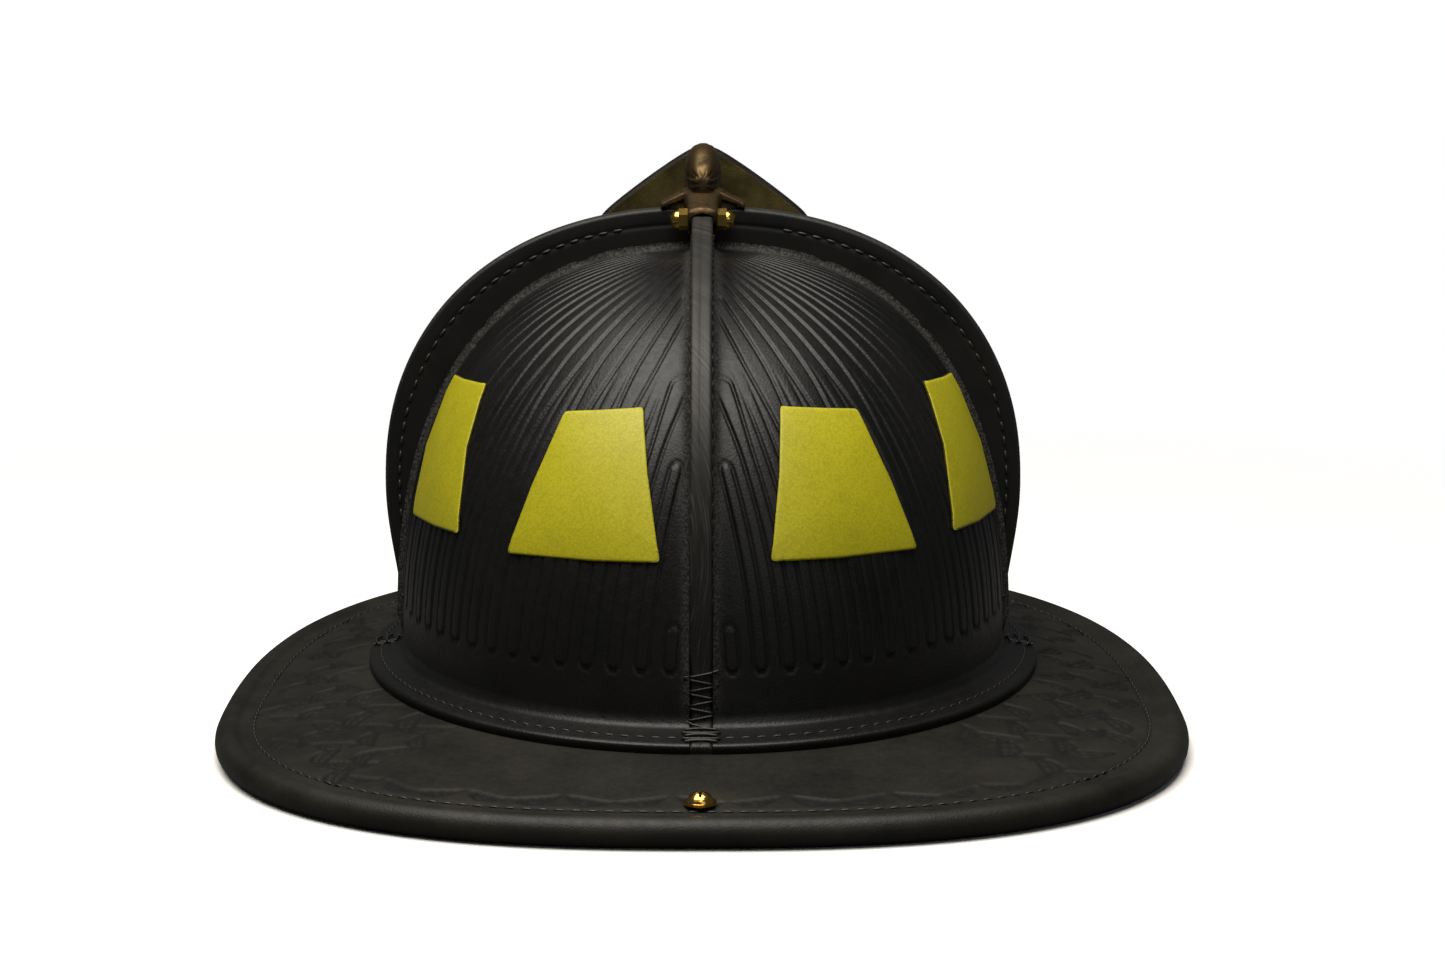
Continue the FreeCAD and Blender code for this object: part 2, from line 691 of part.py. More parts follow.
def make_strap_keys():
    """Six plastic keys that join the straps' ends to the headband, one solid each.

    Each fills the room between the headband's face and the strap that hangs outside it.
    """
    gap = SIZE["liner_gap"] / 2
    low = BAND_TOP - KEY_TALL - 1.0
    around_band = Part.Ellipse(V(0, BAND_HALF_LENGTH + gap, 0), V(BAND_HALF_WIDTH + gap, 0, 0), V())
    band_room = Part.Face(Part.Wire(around_band.toShape())).extrude(V(0, 0, SPAN))
    keys = []
    for index, turn in enumerate(STRAP_TURNS):
        strap_in = strap_depth(index) + SIZE["strap_cloth"] + gap
        core = dome_core(strap_in).cut(band_room)
        for half in (0.0, 180.0):
            block = Part.makeBox(KEY_TALL, SPAN, KEY_TALL, V(-KEY_TALL / 2, 0, low))
            block.rotate(V(0, 0, 0), V(0, 0, 1), turn + half)
            keys.append(one_solid(core.common(block)))
    shape_node(Part.makeCompound(keys), "strap_keys")


def dome_core(inset):
    """Everything inside a dome surface that lies `inset` within the crown's outside."""
    outside = meridian(CROWN_R - inset, RISE - inset, FOOT)
    axis_foot = V(0, 0, outside[0].z)
    return turned_dome([
        meridian_edge(outside),
        Part.LineSegment(outside[-1], axis_foot).toShape(),
        Part.LineSegment(axis_foot, outside[0]).toShape(),
    ])


def make_earlap():
    """The cloth ear and neck flap, folded up between the headband and the inner shell."""
    inset = SHELL_IN + 2.4
    outer = CROWN_R - inset
    rings = []
    for radius in (outer, outer - SIZE["earlap_cloth"]):
        curve = Part.Ellipse(V(0, radius, FOOT), V(radius * SQUEEZE, 0, FOOT), V(0, 0, FOOT))
        rings.append(Part.Face(Part.Wire(curve.toShape())).extrude(V(0, 0, BAND_TOP - FOOT)))
    band = rings[0].cut(rings[1])
    shape_node(one_solid(band.common(sector(76.0, False))), "earlap")


# ---------------------------------------------------------------- ratchet

RATCHET_Z = SIZE["ratchet_height"]
FRONT_Y = CROWN_R - SIZE["ratchet_room"]
COVER_Y = FRONT_Y + SIZE["housing_depth"] + SIZE["sewn_gap"]
PITCH_R = SIZE["gear_module"] * SIZE["pinion_teeth"] / 2
PITCH = math.pi * SIZE["gear_module"]
RACK_Y = FRONT_Y + SIZE["housing_wall"] + 0.5


def make_ratchet_housing():
    """A tray, open towards the cover, with a window in each end for the racks."""
    wall = SIZE["housing_wall"]
    half = SIZE["housing_width"] / 2
    low = RATCHET_Z - SIZE["housing_height"] / 2
    tray = box("housing_block", "Sizes.housing_width", "Sizes.housing_depth", "Sizes.housing_height",
               (-half, FRONT_Y, low))
    room = box("housing_room", "Sizes.housing_width - 2 * Sizes.housing_wall", "Sizes.housing_depth",
               "Sizes.housing_height - 2 * Sizes.housing_wall", (-half + wall, FRONT_Y + wall, low + wall))
    windows = []
    for name, sign in (("upper", 1), ("lower", -1)):
        bottom, top = rack_heights(sign)
        windows.append(box("housing_window_" + name, str(SPAN), "Sizes.rack_wall + 0.6",
                           str(top - bottom + 0.8), (-SPAN / 2, RACK_Y - 0.3, bottom - 0.4)))
    finish_node(cut("ratchet_housing_cut", tray, fuse("housing_rooms", room, *windows)), "ratchet_housing")


def rack_heights(sign):
    """Lowest and highest points of the upper (+1) or lower (-1) rack."""
    tip = PITCH_R - SIZE["gear_module"] * 0.8
    back = PITCH_R + SIZE["gear_module"] * 1.25 + SIZE["rack_band"]
    ends = sorted((RATCHET_Z + sign * tip, RATCHET_Z + sign * back))
    return ends[0], ends[1]


def rack_outline(sign):
    """Outline in X and Z: a strip with straight-sided teeth towards the pinion, a gap at X = 0."""
    module = SIZE["gear_module"]
    tip = PITCH_R - module * 0.8
    root = PITCH_R + module * 1.25
    back = root + SIZE["rack_band"]
    slant = math.tan(math.radians(20)) * module
    half = SIZE["tooth_share"] * PITCH / 2
    inner = -SIZE["rack_length"] * 0.38
    outer = inner + SIZE["rack_length"]
    points = [(inner, back), (inner, root)]
    count = int(-inner / PITCH)
    for index in range(-count, count + 1):
        middle = (index + 0.5) * PITCH
        if middle - PITCH < inner or middle + PITCH > outer:
            continue
        points += [(middle - half - slant * 1.25, root), (middle - half + slant * 0.8, tip),
                   (middle + half - slant * 0.8, tip), (middle + half + slant * 1.25, root)]
    points += [(outer, root), (outer, back)]
    return [(sign * x, RATCHET_Z + sign * z) for x, z in points]


def make_racks():
    """Toothed ends of the headband: the upper one comes from the left, the lower from the right."""
    for label, sign in (("rack_left", 1), ("rack_right", -1)):
        body = doc.addObject("PartDesign::Body", label + "_body")
        sketch = sketch_on(body, "XZ_Plane", label + "_outline", -RACK_Y - SIZE["rack_wall"])
        draw_polygon(sketch, rack_outline(sign))
        doc.recompute()
        pad = body.newObject("PartDesign::Pad", label + "_pad")
        pad.Profile = sketch
        bind(pad, Length="Sizes.rack_wall")
        body.Tip = pad
        doc.recompute()
        finish_node(body, label)


def pinion_outline():
    """A gear of straight-sided teeth, with a tooth pointing straight up and one straight down."""
    module = SIZE["gear_module"]
    count = int(SIZE["pinion_teeth"])
    tip = PITCH_R + module * 0.8
    root = PITCH_R - module * 1.25
    half = SIZE["tooth_share"] * math.pi / count
    tooth = [(root, -half * 1.9), (tip, -half * 0.45), (tip, half * 0.45), (root, half * 1.9)]
    points = []
    for index in range(count):
        middle = 2 * math.pi * index / count
        for radius, turn in tooth:
            points.append((radius * math.sin(middle + turn), RATCHET_Z + radius * math.cos(middle + turn)))
    return points


def make_ratchet_knob():
    """The pinion, its shaft through the cover, and the knob with finger scallops."""
    pinion = doc.addObject("PartDesign::Body", "ratchet_pinion_body")
    sketch = sketch_on(pinion, "XZ_Plane", "pinion_outline", -RACK_Y - SIZE["rack_wall"])
    draw_polygon(sketch, pinion_outline())
    doc.recompute()
    pad = pinion.newObject("PartDesign::Pad", "pinion_pad")
    pad.Profile = sketch
    bind(pad, Length="Sizes.rack_wall")
    pinion.Tip = pad
    doc.recompute()
    shaft_start = RACK_Y + SIZE["rack_wall"]
    knob_start = COVER_Y + SIZE["housing_wall"] + 0.5
    shaft = cylinder("knob_shaft", "Sizes.shaft_radius", str(knob_start - shaft_start + 1.0),
                     (0, shaft_start, RATCHET_Z), (0, 1, 0))
    pinion_node = fuse("ratchet_pinion_fuse", pinion, shaft)
    finish_node(pinion_node, "ratchet_pinion")

    knob = doc.addObject("PartDesign::Body", "ratchet_knob_body")
    disc = sketch_on(knob, "XZ_Plane", "knob_disc", -knob_start)
    disc.addGeometry(Part.Circle(V(0, RATCHET_Z, 0), V(0, 0, 1), SIZE["knob_radius"]), False)
    doc.recompute()
    body = knob.newObject("PartDesign::Pad", "knob_pad")
    body.Profile = disc
    body.Reversed = True
    bind(body, Length="Sizes.knob_depth")
    knob.Tip = body
    doc.recompute()
    solid = knob.Shape.copy()
    for index in range(14):
        turn = 2 * math.pi * index / 14
        reach = SIZE["knob_radius"] + 1.2
        centre = V(reach * math.sin(turn), knob_start - 1, RATCHET_Z + reach * math.cos(turn))
        solid = solid.cut(Part.makeCylinder(2.4, SIZE["knob_depth"] + 2, centre, V(0, 1, 0)))
    socket = Part.makeCylinder(SIZE["shaft_radius"] + SIZE["sewn_gap"], 1.0 + SIZE["sewn_gap"],
                               V(0, knob_start, RATCHET_Z), V(0, 1, 0))
    shape_node(solid.cut(socket), "ratchet_knob")


def make_ratchet_cover():
    low = RATCHET_Z - SIZE["housing_height"] / 2
    plate = box("cover_plate", "Sizes.housing_width", "Sizes.housing_wall", "Sizes.housing_height",
                (-SIZE["housing_width"] / 2, COVER_Y, low))
    hole = cylinder("cover_hole", "Sizes.shaft_radius + Sizes.running_gap", str(SPAN),
                    (0, COVER_Y - 1, RATCHET_Z), (0, 1, 0))
    finish_node(cut("ratchet_cover_cut", plate, hole), "ratchet_cover")


# ---------------------------------------------------------------- front-piece holder

LEAN = SIZE["shield_lean"]
SHIELD_REACH = FLANGE_EDGE + SIZE["shield_stand_off"]
SHIELD_TOP = SIZE["shield_foot"] + SIZE["shield_height"] * math.cos(math.radians(LEAN))

def comb_tool(half_width):
    """The room that the four combs take up under the holder."""
    top = COMB_TOP + SIZE["sewn_gap"]
    return [Part.makeBox(2 * half_width, SPAN, SPAN, V(-half_width, -SPAN / 2, top - SPAN)),
            Part.makeBox(SPAN, 2 * half_width, SPAN, V(-SPAN / 2, -half_width, top - SPAN))]


HOLDER_CAP = 4.0                                 # thickness of the holder over the combs
HUMP_START = 4.0                                 # how far the hump's rear lies behind the crown centre
HUMP_CREST = -10.0                               # place of the hump's highest section


def hump_sections():
    """The hump's sections: place behind the crown centre, middle height, height and width.

    Two close the rear.  From the crest forwards, at a share s of the way to the tip, the middle
    drops as s squared, the height shrinks evenly and the width as s to the power 1.5.
    """
    wide = SIZE["hump_width"]
    crest_z = COMB_TOP + SIZE["hump_rise"] - 9.0
    tip_z = SHIELD_TOP - 4.1
    tip_y = -SHIELD_REACH + math.tan(math.radians(LEAN)) * (tip_z + 3.0 - SIZE["shield_foot"])
    tip_y += SIZE["hump_tip_gap"]
    sections = [(HUMP_START + 8.0, crest_z - 7.0, 6.0, 0.60 * wide), (HUMP_START, crest_z - 2.5, 18.0, wide)]
    for share in (0.0, 0.25, 0.53, 0.82, 1.0):
        sections.append((HUMP_CREST + (tip_y - HUMP_CREST) * share,
                         crest_z + (tip_z - crest_z) * share ** 2,
                         18.0 - 12.0 * share,
                         wide * (1.03 - 0.33 * share ** 1.5)))
    return sections


def make_holder():
    """A brass casting: a cross of channels over the combs, under a hump that reaches forwards.

    The hump is a loft of ellipses along an arch from above the rear arm to the shield's top.
    """
    half = SIZE["comb_width"] / 2 + SIZE["sewn_gap"]
    outer = half + SIZE["holder_wall"]
    low = COMB_TOP - SIZE["holder_cheek"]
    cap = COMB_TOP + HOLDER_CAP
    spine = Part.makeBox(2 * outer, SIZE["holder_reach"] + SIZE["holder_front"], cap - low,
                         V(-outer, -SIZE["holder_front"], low))
    skirt = Part.makeBox(2 * SIZE["holder_skirt"], 2 * outer, cap - low - HOLDER_CAP,
                         V(-SIZE["holder_skirt"], -outer, low + HOLDER_CAP))
    rings = []
    for y, z, high, wide in hump_sections():
        ring = Part.Ellipse(V(0, 0, 0), max(high, wide) / 2, min(high, wide) / 2)
        wire = Part.Wire(ring.toShape())
        upright = FreeCAD.Rotation(V(1, 0, 0), V(0, 0, 1), V(0, -1, 0), "XYZ")
        if high > wide:
            upright = FreeCAD.Rotation(V(0, 0, 1), V(-1, 0, 0), V(0, -1, 0), "XYZ")
        wire.Placement = FreeCAD.Placement(V(0, y, z), upright)
        rings.append(wire)
    hump = Part.makeLoft(rings, True, False)
    body = spine.fuse(skirt).fuse(hump)
    for tool in comb_tool(half):
        body = body.cut(tool)
    bolt = Part.makeCylinder(SIZE["holder_bolt_radius"] + SIZE["running_gap"], 2 * SPAN,
                             V(-SPAN, BOLT_Y, BOLT_Z), V(1, 0, 0))
    body = body.cut(bolt)
    shape_node(one_solid(body), "front_piece_holder")


def make_holder_bolt():
    """One bolt across the rear comb, with an acorn nut on each end."""
    half = SIZE["comb_width"] / 2 + SIZE["sewn_gap"] + SIZE["holder_wall"]
    reach = half + 3.0
    finish_node(cylinder("holder_bolt_rod", "Sizes.holder_bolt_radius", str(2 * reach),
                         (-reach, BOLT_Y, BOLT_Z), (1, 0, 0)), "holder_bolt")
    nuts = []
    flats = SIZE["acorn_flats"]
    for sign in (1, -1):
        seat = half + SIZE["sewn_gap"]
        corners = []
        for index in range(7):
            turn = math.radians(60 * index + 30)
            corners.append(V(0, flats / math.sqrt(3) * math.cos(turn), flats / math.sqrt(3) * math.sin(turn)))
        hexagon = Part.Face(Part.makePolygon(corners)).extrude(V(3.0, 0, 0))
        dome = Part.makeSphere(flats / 2, V(3.0, 0, 0)).common(Part.makeBox(flats, flats, flats,
                                                               V(3.0, -flats / 2, -flats / 2)))
        bore = Part.makeCylinder(SIZE["holder_bolt_radius"] + SIZE["sewn_gap"], 3.2, V(0, 0, 0), V(1, 0, 0))
        nut = hexagon.fuse(dome).cut(bore)
        if sign < 0:
            nut.rotate(V(0, 0, 0), V(0, 0, 1), 180)
        nut.translate(V(sign * seat, BOLT_Y, BOLT_Z))
        nuts.append(nut)
    shape_node(Part.makeCompound(nuts), "holder_acorn_nuts")


# ---------------------------------------------------------------- front shield


def shield_outline():
    """Half outline of the shield, right side, from the foot to the peak: (across, up) pairs."""
    half = SIZE["shield_width"] / 2
    tall = SIZE["shield_height"]
    return [(0.0, 0.0), (0.20 * half, 0.0), (0.62 * half, 0.07 * tall), (0.86 * half, 0.20 * tall),
            (1.00 * half, 0.42 * tall), (0.97 * half, 0.60 * tall), (0.82 * half, 0.76 * tall),
            (0.66 * half, 0.84 * tall), (0.54 * half, 0.885 * tall), (0.10 * half, tall), (0.0, tall)]


def shield_sheet(inner, outer):
    """A curved sheet: part of an upright tube whose axis lies behind the shield."""
    bend = SIZE["shield_bend"]
    big = Part.makeCylinder(bend + outer, SPAN, V(0, bend, -SPAN / 2))
    small = Part.makeCylinder(bend + inner, SPAN, V(0, bend, -SPAN / 2))
    return big.cut(small)


def shield_prism(scale, rise, low, high):
    """The shield's outline, scaled about its middle, between two heights, as a long prism."""
    middle = SIZE["shield_height"] / 2
    half = [(x * scale, middle + (z - middle) * scale + rise) for x, z in shield_outline()]
    right = [V(x, -SPAN, z) for x, z in half]
    left = [V(-p.x, p.y, p.z) for p in reversed(right[1:-1])]
    outline = Part.makePolygon(right + left + right[:1])
    prism = Part.Face(outline).extrude(V(0, SPAN + SIZE["shield_bend"] / 2, 0))
    return prism.common(Part.makeBox(SPAN, 2 * SPAN, high - low, V(-SPAN / 2, -SPAN - 1, low)))


def place_shield(shape):
    """Leans a piece drawn upright about the origin back, and sets it at the shield's foot."""
    shape.rotate(V(0, 0, 0), V(1, 0, 0), -LEAN)
    shape.translate(V(0, -SHIELD_REACH, SIZE["shield_foot"]))
    return shape


PANEL_SCALE = 0.84                               # the panels' outline against the shield's
PANEL_WALL = 1.6                                 # thickness of a panel
PANELS = [("shield_lower_panel", 0.20, 0.50), ("shield_upper_panel", 0.54, 0.80)]
SHIELD_SCREW_X = 5.0                             # centre line to each of the shield's screws
SHIELD_SCREW_UP = 10.0                           # shield's lower edge to its screws
SHIELD_SCREW_RADIUS = 1.5


def screw_rooms(length):
    """Holes for the shield's two screws, through a piece drawn upright about the origin."""
    radius = SHIELD_SCREW_RADIUS + SIZE["running_gap"]
    return [Part.makeCylinder(radius, 2 * length, V(x, length, SHIELD_SCREW_UP), V(0, -1, 0))
            for x in (-SHIELD_SCREW_X, SHIELD_SCREW_X)]


def make_front_shield():
    """The curved leather shield with two raised, blank panels sewn on its face."""
    tall = SIZE["shield_height"]
    wall = SIZE["shield_wall"]
    face = wall + SIZE["sewn_gap"]
    sheet_form = shield_sheet(0.0, wall).common(shield_prism(1.0, 0.0, -1.0, tall + 1))
    for room in screw_rooms(SPAN / 2):
        sheet_form = sheet_form.cut(room)
    shape_node(place_shield(one_solid(sheet_form)), "front_shield")
    for label, low, high in PANELS:
        prism = shield_prism(PANEL_SCALE, 0.0, low * tall, high * tall)
        form = shield_sheet(face, face + PANEL_WALL).common(prism)
        shape_node(place_shield(one_solid(form)), label)


BRACKET_WIDTH = 20.0
BRACKET_WALL = 1.5
BRACKET_GAP = 0.55                               # clears the shield's curved back
BRACKET_FOOT = 9.0                               # length of the bracket's foot on the brim


def make_shield_bracket():
    """A bent brass strap behind the shield's foot, and the two screws through both."""
    half = BRACKET_WIDTH / 2
    plate = Part.makeBox(BRACKET_WIDTH, BRACKET_WALL, 24.0, V(-half, BRACKET_GAP, 2.0))
    for room in screw_rooms(SPAN / 2):
        plate = plate.cut(room)
    plate = place_shield(plate)
    web_y = -SHIELD_REACH + 2.0
    foot_low = brim_surface(-web_y - BRACKET_FOOT, BRIM_FRONT) + 0.3
    foot = Part.makeBox(BRACKET_WIDTH, BRACKET_FOOT, BRACKET_WALL, V(-half, web_y, foot_low))
    web = Part.makeBox(BRACKET_WIDTH, BRACKET_WALL, SIZE["shield_foot"] - foot_low + 3.4,
                       V(-half, web_y, foot_low))
    shape_node(plate.fuse(web).fuse(foot).removeSplitter(), "shield_bracket")
    screws = []
    tail = BRACKET_GAP + BRACKET_WALL + 1.55
    for x in (-SHIELD_SCREW_X, SHIELD_SCREW_X):
        shank = Part.makeCylinder(SHIELD_SCREW_RADIUS, SIZE["shield_wall"] + tail + 1.6,
                                  V(x, tail, SHIELD_SCREW_UP), V(0, -1, 0))
        head = Part.makeSphere(3.2).common(Part.makeBox(8, 4, 8, V(-4, -4, -4)))
        head.translate(V(x, -SIZE["shield_wall"] - 0.15, SHIELD_SCREW_UP))
        screws.append(place_shield(shank.fuse(head)))
    shape_node(Part.makeCompound(screws), "shield_screws")


# ---------------------------------------------------------------- rear screw and hang ring

NUT_CORNER = 4.0                                 # rear nut, centre to a corner
NUT_WALL = 2.4                                   # thickness of the rear nut


def make_rear_screw():
    """Round-head screw, washer and nut through the rear of the brim."""
    place = SCREW_PLACE
    surface = brim_surface(place, BRIM_REAR)
    top = surface + 0.75
    head_start = top + SIZE["washer_wall"] + SIZE["sewn_gap"]
    under = surface - SIZE["brim_leather"] - 0.75 - SIZE["tab_wall"]
    nut_low = under - NUT_WALL
    radius = SIZE["screw_head_radius"]
    rise = SIZE["screw_head_rise"]
    dome_r = (radius ** 2 + rise ** 2) / (2 * rise)
    arc = []
    for step in range(9):
        turn = math.asin(radius / dome_r) * (1 - step / 8)
        arc.append((dome_r * math.sin(turn), head_start + rise - dome_r + dome_r * math.cos(turn)))
    arc[-1] = (0.0, head_start + rise)
    outline = [(0.0, nut_low), (SIZE["screw_radius"], nut_low), (SIZE["screw_radius"], head_start)] + arc
    screw = revolved_body("rear_screw", "XZ_Plane", "V_Axis", outline)
    slot = box("rear_screw_slot", "0.9", str(SPAN), "1.2", (-0.45, -SPAN / 2, head_start + rise - 1.2))
    slotted = cut("rear_screw_cut", screw, slot)
    slotted.Placement = FreeCAD.Placement(V(0, place, 0), FreeCAD.Rotation())
    finish_node(slotted, "rear_screw")

    gap = SIZE["sewn_gap"]
    disc = cylinder("rear_washer_disc", "Sizes.washer_radius", "Sizes.washer_wall",
                    (0, place, top), (0, 0, 1))
    bore = cylinder("rear_washer_bore", "Sizes.screw_radius + Sizes.sewn_gap", str(SPAN),
                    (0, place, top - 1), (0, 0, 1))
    finish_node(cut("rear_washer_cut", disc, bore), "rear_washer")

    corners = []
    for index in range(7):
        turn = math.radians(60 * index)
        corners.append(V(NUT_CORNER * math.cos(turn), place + NUT_CORNER * math.sin(turn), nut_low))
    nut = Part.Face(Part.makePolygon(corners)).extrude(V(0, 0, NUT_WALL - gap))
    nut = nut.cut(Part.makeCylinder(SIZE["screw_radius"] + gap, SPAN, V(0, place, -SPAN / 2)))
    shape_node(nut, "rear_nut")


def make_hang_ring():
    """A brass tab under the brim, rolled round the bar of a D-shaped ring."""
    place = SCREW_PLACE
    pivot_y = SCREW_PLACE - SIZE["ring_hang"]
    pivot_z = SIZE["ring_height"]
    wall = SIZE["tab_wall"]
    wide = SIZE["tab_width"]
    bore = SIZE["ring_wire"] + 2 * SIZE["running_gap"]
    tab_top = brim_surface(place, BRIM_REAR) - SIZE["brim_leather"] - 0.75
    strip = Part.makeBox(wide, place + 4.5 - pivot_y, wall, V(-wide / 2, pivot_y, tab_top - wall))
    sleeve = Part.makeCylinder(bore + wall, wide, V(-wide / 2, pivot_y, pivot_z), V(1, 0, 0))
    tab = strip.fuse(sleeve)
    tab = tab.cut(Part.makeCylinder(bore, SPAN, V(-SPAN / 2, pivot_y, pivot_z), V(1, 0, 0)))
    tab = tab.cut(Part.makeCylinder(SIZE["screw_radius"] + SIZE["sewn_gap"], SPAN, V(0, place, -SPAN / 2)))
    shape_node(tab, "hang_ring_tab")

    half = SIZE["ring_width"] / 2
    deep = SIZE["ring_length"] - half
    wire = SIZE["ring_wire"]
    bar = Part.makeCylinder(wire, 2 * half, V(-half, pivot_y, pivot_z), V(1, 0, 0))
    bow = Part.makeTorus(half, wire, V(0, pivot_y - deep, pivot_z))
    bow = bow.cut(Part.makeBox(SPAN, SPAN, SPAN, V(-SPAN / 2, pivot_y - deep, -SPAN / 2)))
    rods = [Part.makeCylinder(wire, deep, V(x, pivot_y - deep, pivot_z), V(0, 1, 0)) for x in (-half, half)]
    corners = [Part.makeSphere(wire, V(x, pivot_y, pivot_z)) for x in (-half, half)]
    ring = bar.multiFuse([bow] + rods + corners)
    shape_node(ring, "hang_ring")


# ---------------------------------------------------------------- chinstrap

def ribbon(points, width, thickness):
    """Flat webbing along a path in the XZ plane; the path is the webbing's middle line."""
    middle = rounded_path(points)
    normals = path_normals(middle)
    upper = [p + n * (thickness / 2) for p, n in zip(middle, normals)]
    lower = [p - n * (thickness / 2) for p, n in zip(middle, normals)]
    outline = Part.makePolygon(upper + lower[::-1] + upper[:1])
    face = Part.Face(outline)
    face.translate(V(0, -width / 2, 0))
    return face.extrude(V(0, width, 0))


def rounded_path(points, steps=5):
    """Points of a path whose corners are rounded by short arcs."""
    path = [V(points[0][0], 0, points[0][1])]
    for before, corner, after in zip(points, points[1:], points[2:]):
        a, b, c = (V(x, 0, z) for x, z in (before, corner, after))
        reach = 0.45 * min((b - a).Length, (c - b).Length)
        start = b + (a - b).normalize() * reach
        end = b + (c - b).normalize() * reach
        for step in range(steps + 1):
            share = step / steps
            path.append(start * (1 - share) ** 2 + b * (2 * share * (1 - share)) + end * share ** 2)
    path.append(V(points[-1][0], 0, points[-1][1]))
    return path


def path_normals(path):
    normals = []
    for index in range(len(path)):
        along = path[min(index + 1, len(path) - 1)] - path[max(index - 1, 0)]
        normals.append(V(-along.z, 0, along.x).normalize())
    return normals


BUCKLE_HALF = 17.0                               # half length of one side-release buckle half
BUCKLE_TALL = 6.4
BUCKLE_WALL = 1.2
BUCKLE_RIM = 3.0                                 # buckle beyond the webbing's edge, on each side
BUCKLE_TAIL = 8.0                                # length of a buckle half that holds the webbing
STRAP_LIE = 2.6                                  # table to the underside of the lying webbing


def make_chinstrap():
    """Webbing from a rivet on each side, down and across under the opening, to a buckle."""
    cloth = SIZE["webbing_cloth"]
    wide = SIZE["webbing_width"]
    wall_x = (CROWN_R - SHELL_IN) * SQUEEZE
    hang_x = wall_x - cloth / 2 - 0.6
    lie = cloth / 2 + STRAP_LIE
    for side, sign in (("left", 1), ("right", -1)):
        route = [(hang_x, RIVET_Z + 9), (hang_x, FOOT - 2), (hang_x - 10, FOOT - 13),
                 (hang_x - 34, lie + 1.0), (hang_x - 50, lie), (BUCKLE_HALF + 10 - 4, lie)]
        web = ribbon([(sign * x, z) for x, z in route], wide, cloth)
        room = Part.makeCylinder(SIZE["rivet_radius"] + SIZE["sewn_gap"], 2 * SPAN,
                                 V(-SPAN, 0, RIVET_Z), V(1, 0, 0))
        shape_node(one_solid(web.cut(room)), "chinstrap_" + side)
    rivets = []
    for sign in (1, -1):
        head_x = hang_x - cloth / 2 - SIZE["sewn_gap"]
        end_x = (CROWN_R - SIZE["leather_wall"]) * SQUEEZE - 0.4
        shank = Part.makeCylinder(SIZE["rivet_radius"], end_x - head_x, V(head_x, 0, RIVET_Z), V(1, 0, 0))
        head = Part.makeCylinder(4.5, 1.2, V(head_x - 1.2, 0, RIVET_Z), V(1, 0, 0))
        rivet = shank.fuse(head)
        if sign < 0:
            rivet.rotate(V(0, 0, 0), V(0, 0, 1), 180)
        rivets.append(rivet)
    shape_node(Part.makeCompound(rivets), "chinstrap_rivets")
    make_buckle(wide, lie)


def make_buckle(wide, lie):
    """Side-release buckle: a socket half on the left webbing and a plug half on the right."""
    low = lie - BUCKLE_TALL / 2
    half = wide / 2 + BUCKLE_RIM
    long = BUCKLE_HALF + BUCKLE_TAIL
    web_half = SIZE["webbing_cloth"] / 2 + 0.15
    web_wide = wide + 0.6
    inner = half - 2.0                           # half width of the socket's mouth
    socket = Part.makeBox(long, 2 * half, BUCKLE_TALL, V(0, -half, low))
    mouth = Part.makeBox(BUCKLE_HALF - 1.0, 2 * inner, BUCKLE_TALL - 2 * BUCKLE_WALL,
                         V(-1.0, -inner, low + BUCKLE_WALL))
    tail = Part.makeBox(SPAN, web_wide, 2 * web_half, V(BUCKLE_HALF + 2.0, -web_wide / 2, lie - web_half))
    shape_node(socket.cut(mouth).cut(tail), "buckle_socket")
    tongue_half = inner - 0.4
    tongue_tall = BUCKLE_TALL - 2 * BUCKLE_WALL - 0.6
    plug = Part.makeBox(long - 1.0, 2 * half, BUCKLE_TALL, V(-long, -half, low))
    tongue = Part.makeBox(BUCKLE_HALF - 3.0, 2 * tongue_half, tongue_tall,
                          V(-1.5, -tongue_half, low + BUCKLE_WALL + 0.3))
    slot = Part.makeBox(BUCKLE_HALF, 5.0, SPAN, V(2.0, -2.5, -SPAN / 2))
    rear = Part.makeBox(SPAN, web_wide, 2 * web_half,
                        V(-BUCKLE_HALF - 2.0 - SPAN, -web_wide / 2, lie - web_half))
    shape_node(plug.fuse(tongue).cut(slot).cut(rear), "buckle_plug")


# ---------------------------------------------------------------- build, check and write

make_crown()
make_combs()
make_brim()
make_trim()
make_inner_shell()
make_impact_cap()
make_crown_straps()
make_headband()
make_brow_pad()
make_strap_keys()
make_earlap()
make_ratchet_housing()
make_racks()
make_ratchet_knob()
make_ratchet_cover()
make_holder()
make_holder_bolt()
make_front_shield()
make_shield_bracket()
make_rear_screw()
make_hang_ring()
make_chinstrap()
doc.recompute()

for item in doc.Objects:
    if any(flag in item.State for flag in ("Invalid", "Error")):
        raise RuntimeError("%s could not be built: %s" % (item.Label, item.State))

os.makedirs("parts", exist_ok=True)
for node in NODES:
    shape = node.Shape
    if shape.isNull() or not shape.isValid() or shape.Volume <= 0:
        raise RuntimeError("%s has no valid solid" % node.Label)
    shape.exportStep("parts/%s.step" % node.Label)
    print("%-32s %2d solid(s) %9.0f mm3" % (node.Label, len(shape.Solids), shape.Volume))
print(len(NODES), "nodes")
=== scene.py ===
"""Traditional leather fire helmet: the looks of its pieces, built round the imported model.

The leather crown, its four combs, the brim, the castings, the front shield and the soft goods are
new surfaces.  Screws, nuts, the hang ring and the plastic suspension keep their CAD shapes and get
finishes.  Lengths are millimetres in the crown's own frame, whose centre line is at x = 0, y = 0
and whose rear is at +y; `helmet` turns them into metres in the helmet's frame.
"""
import math

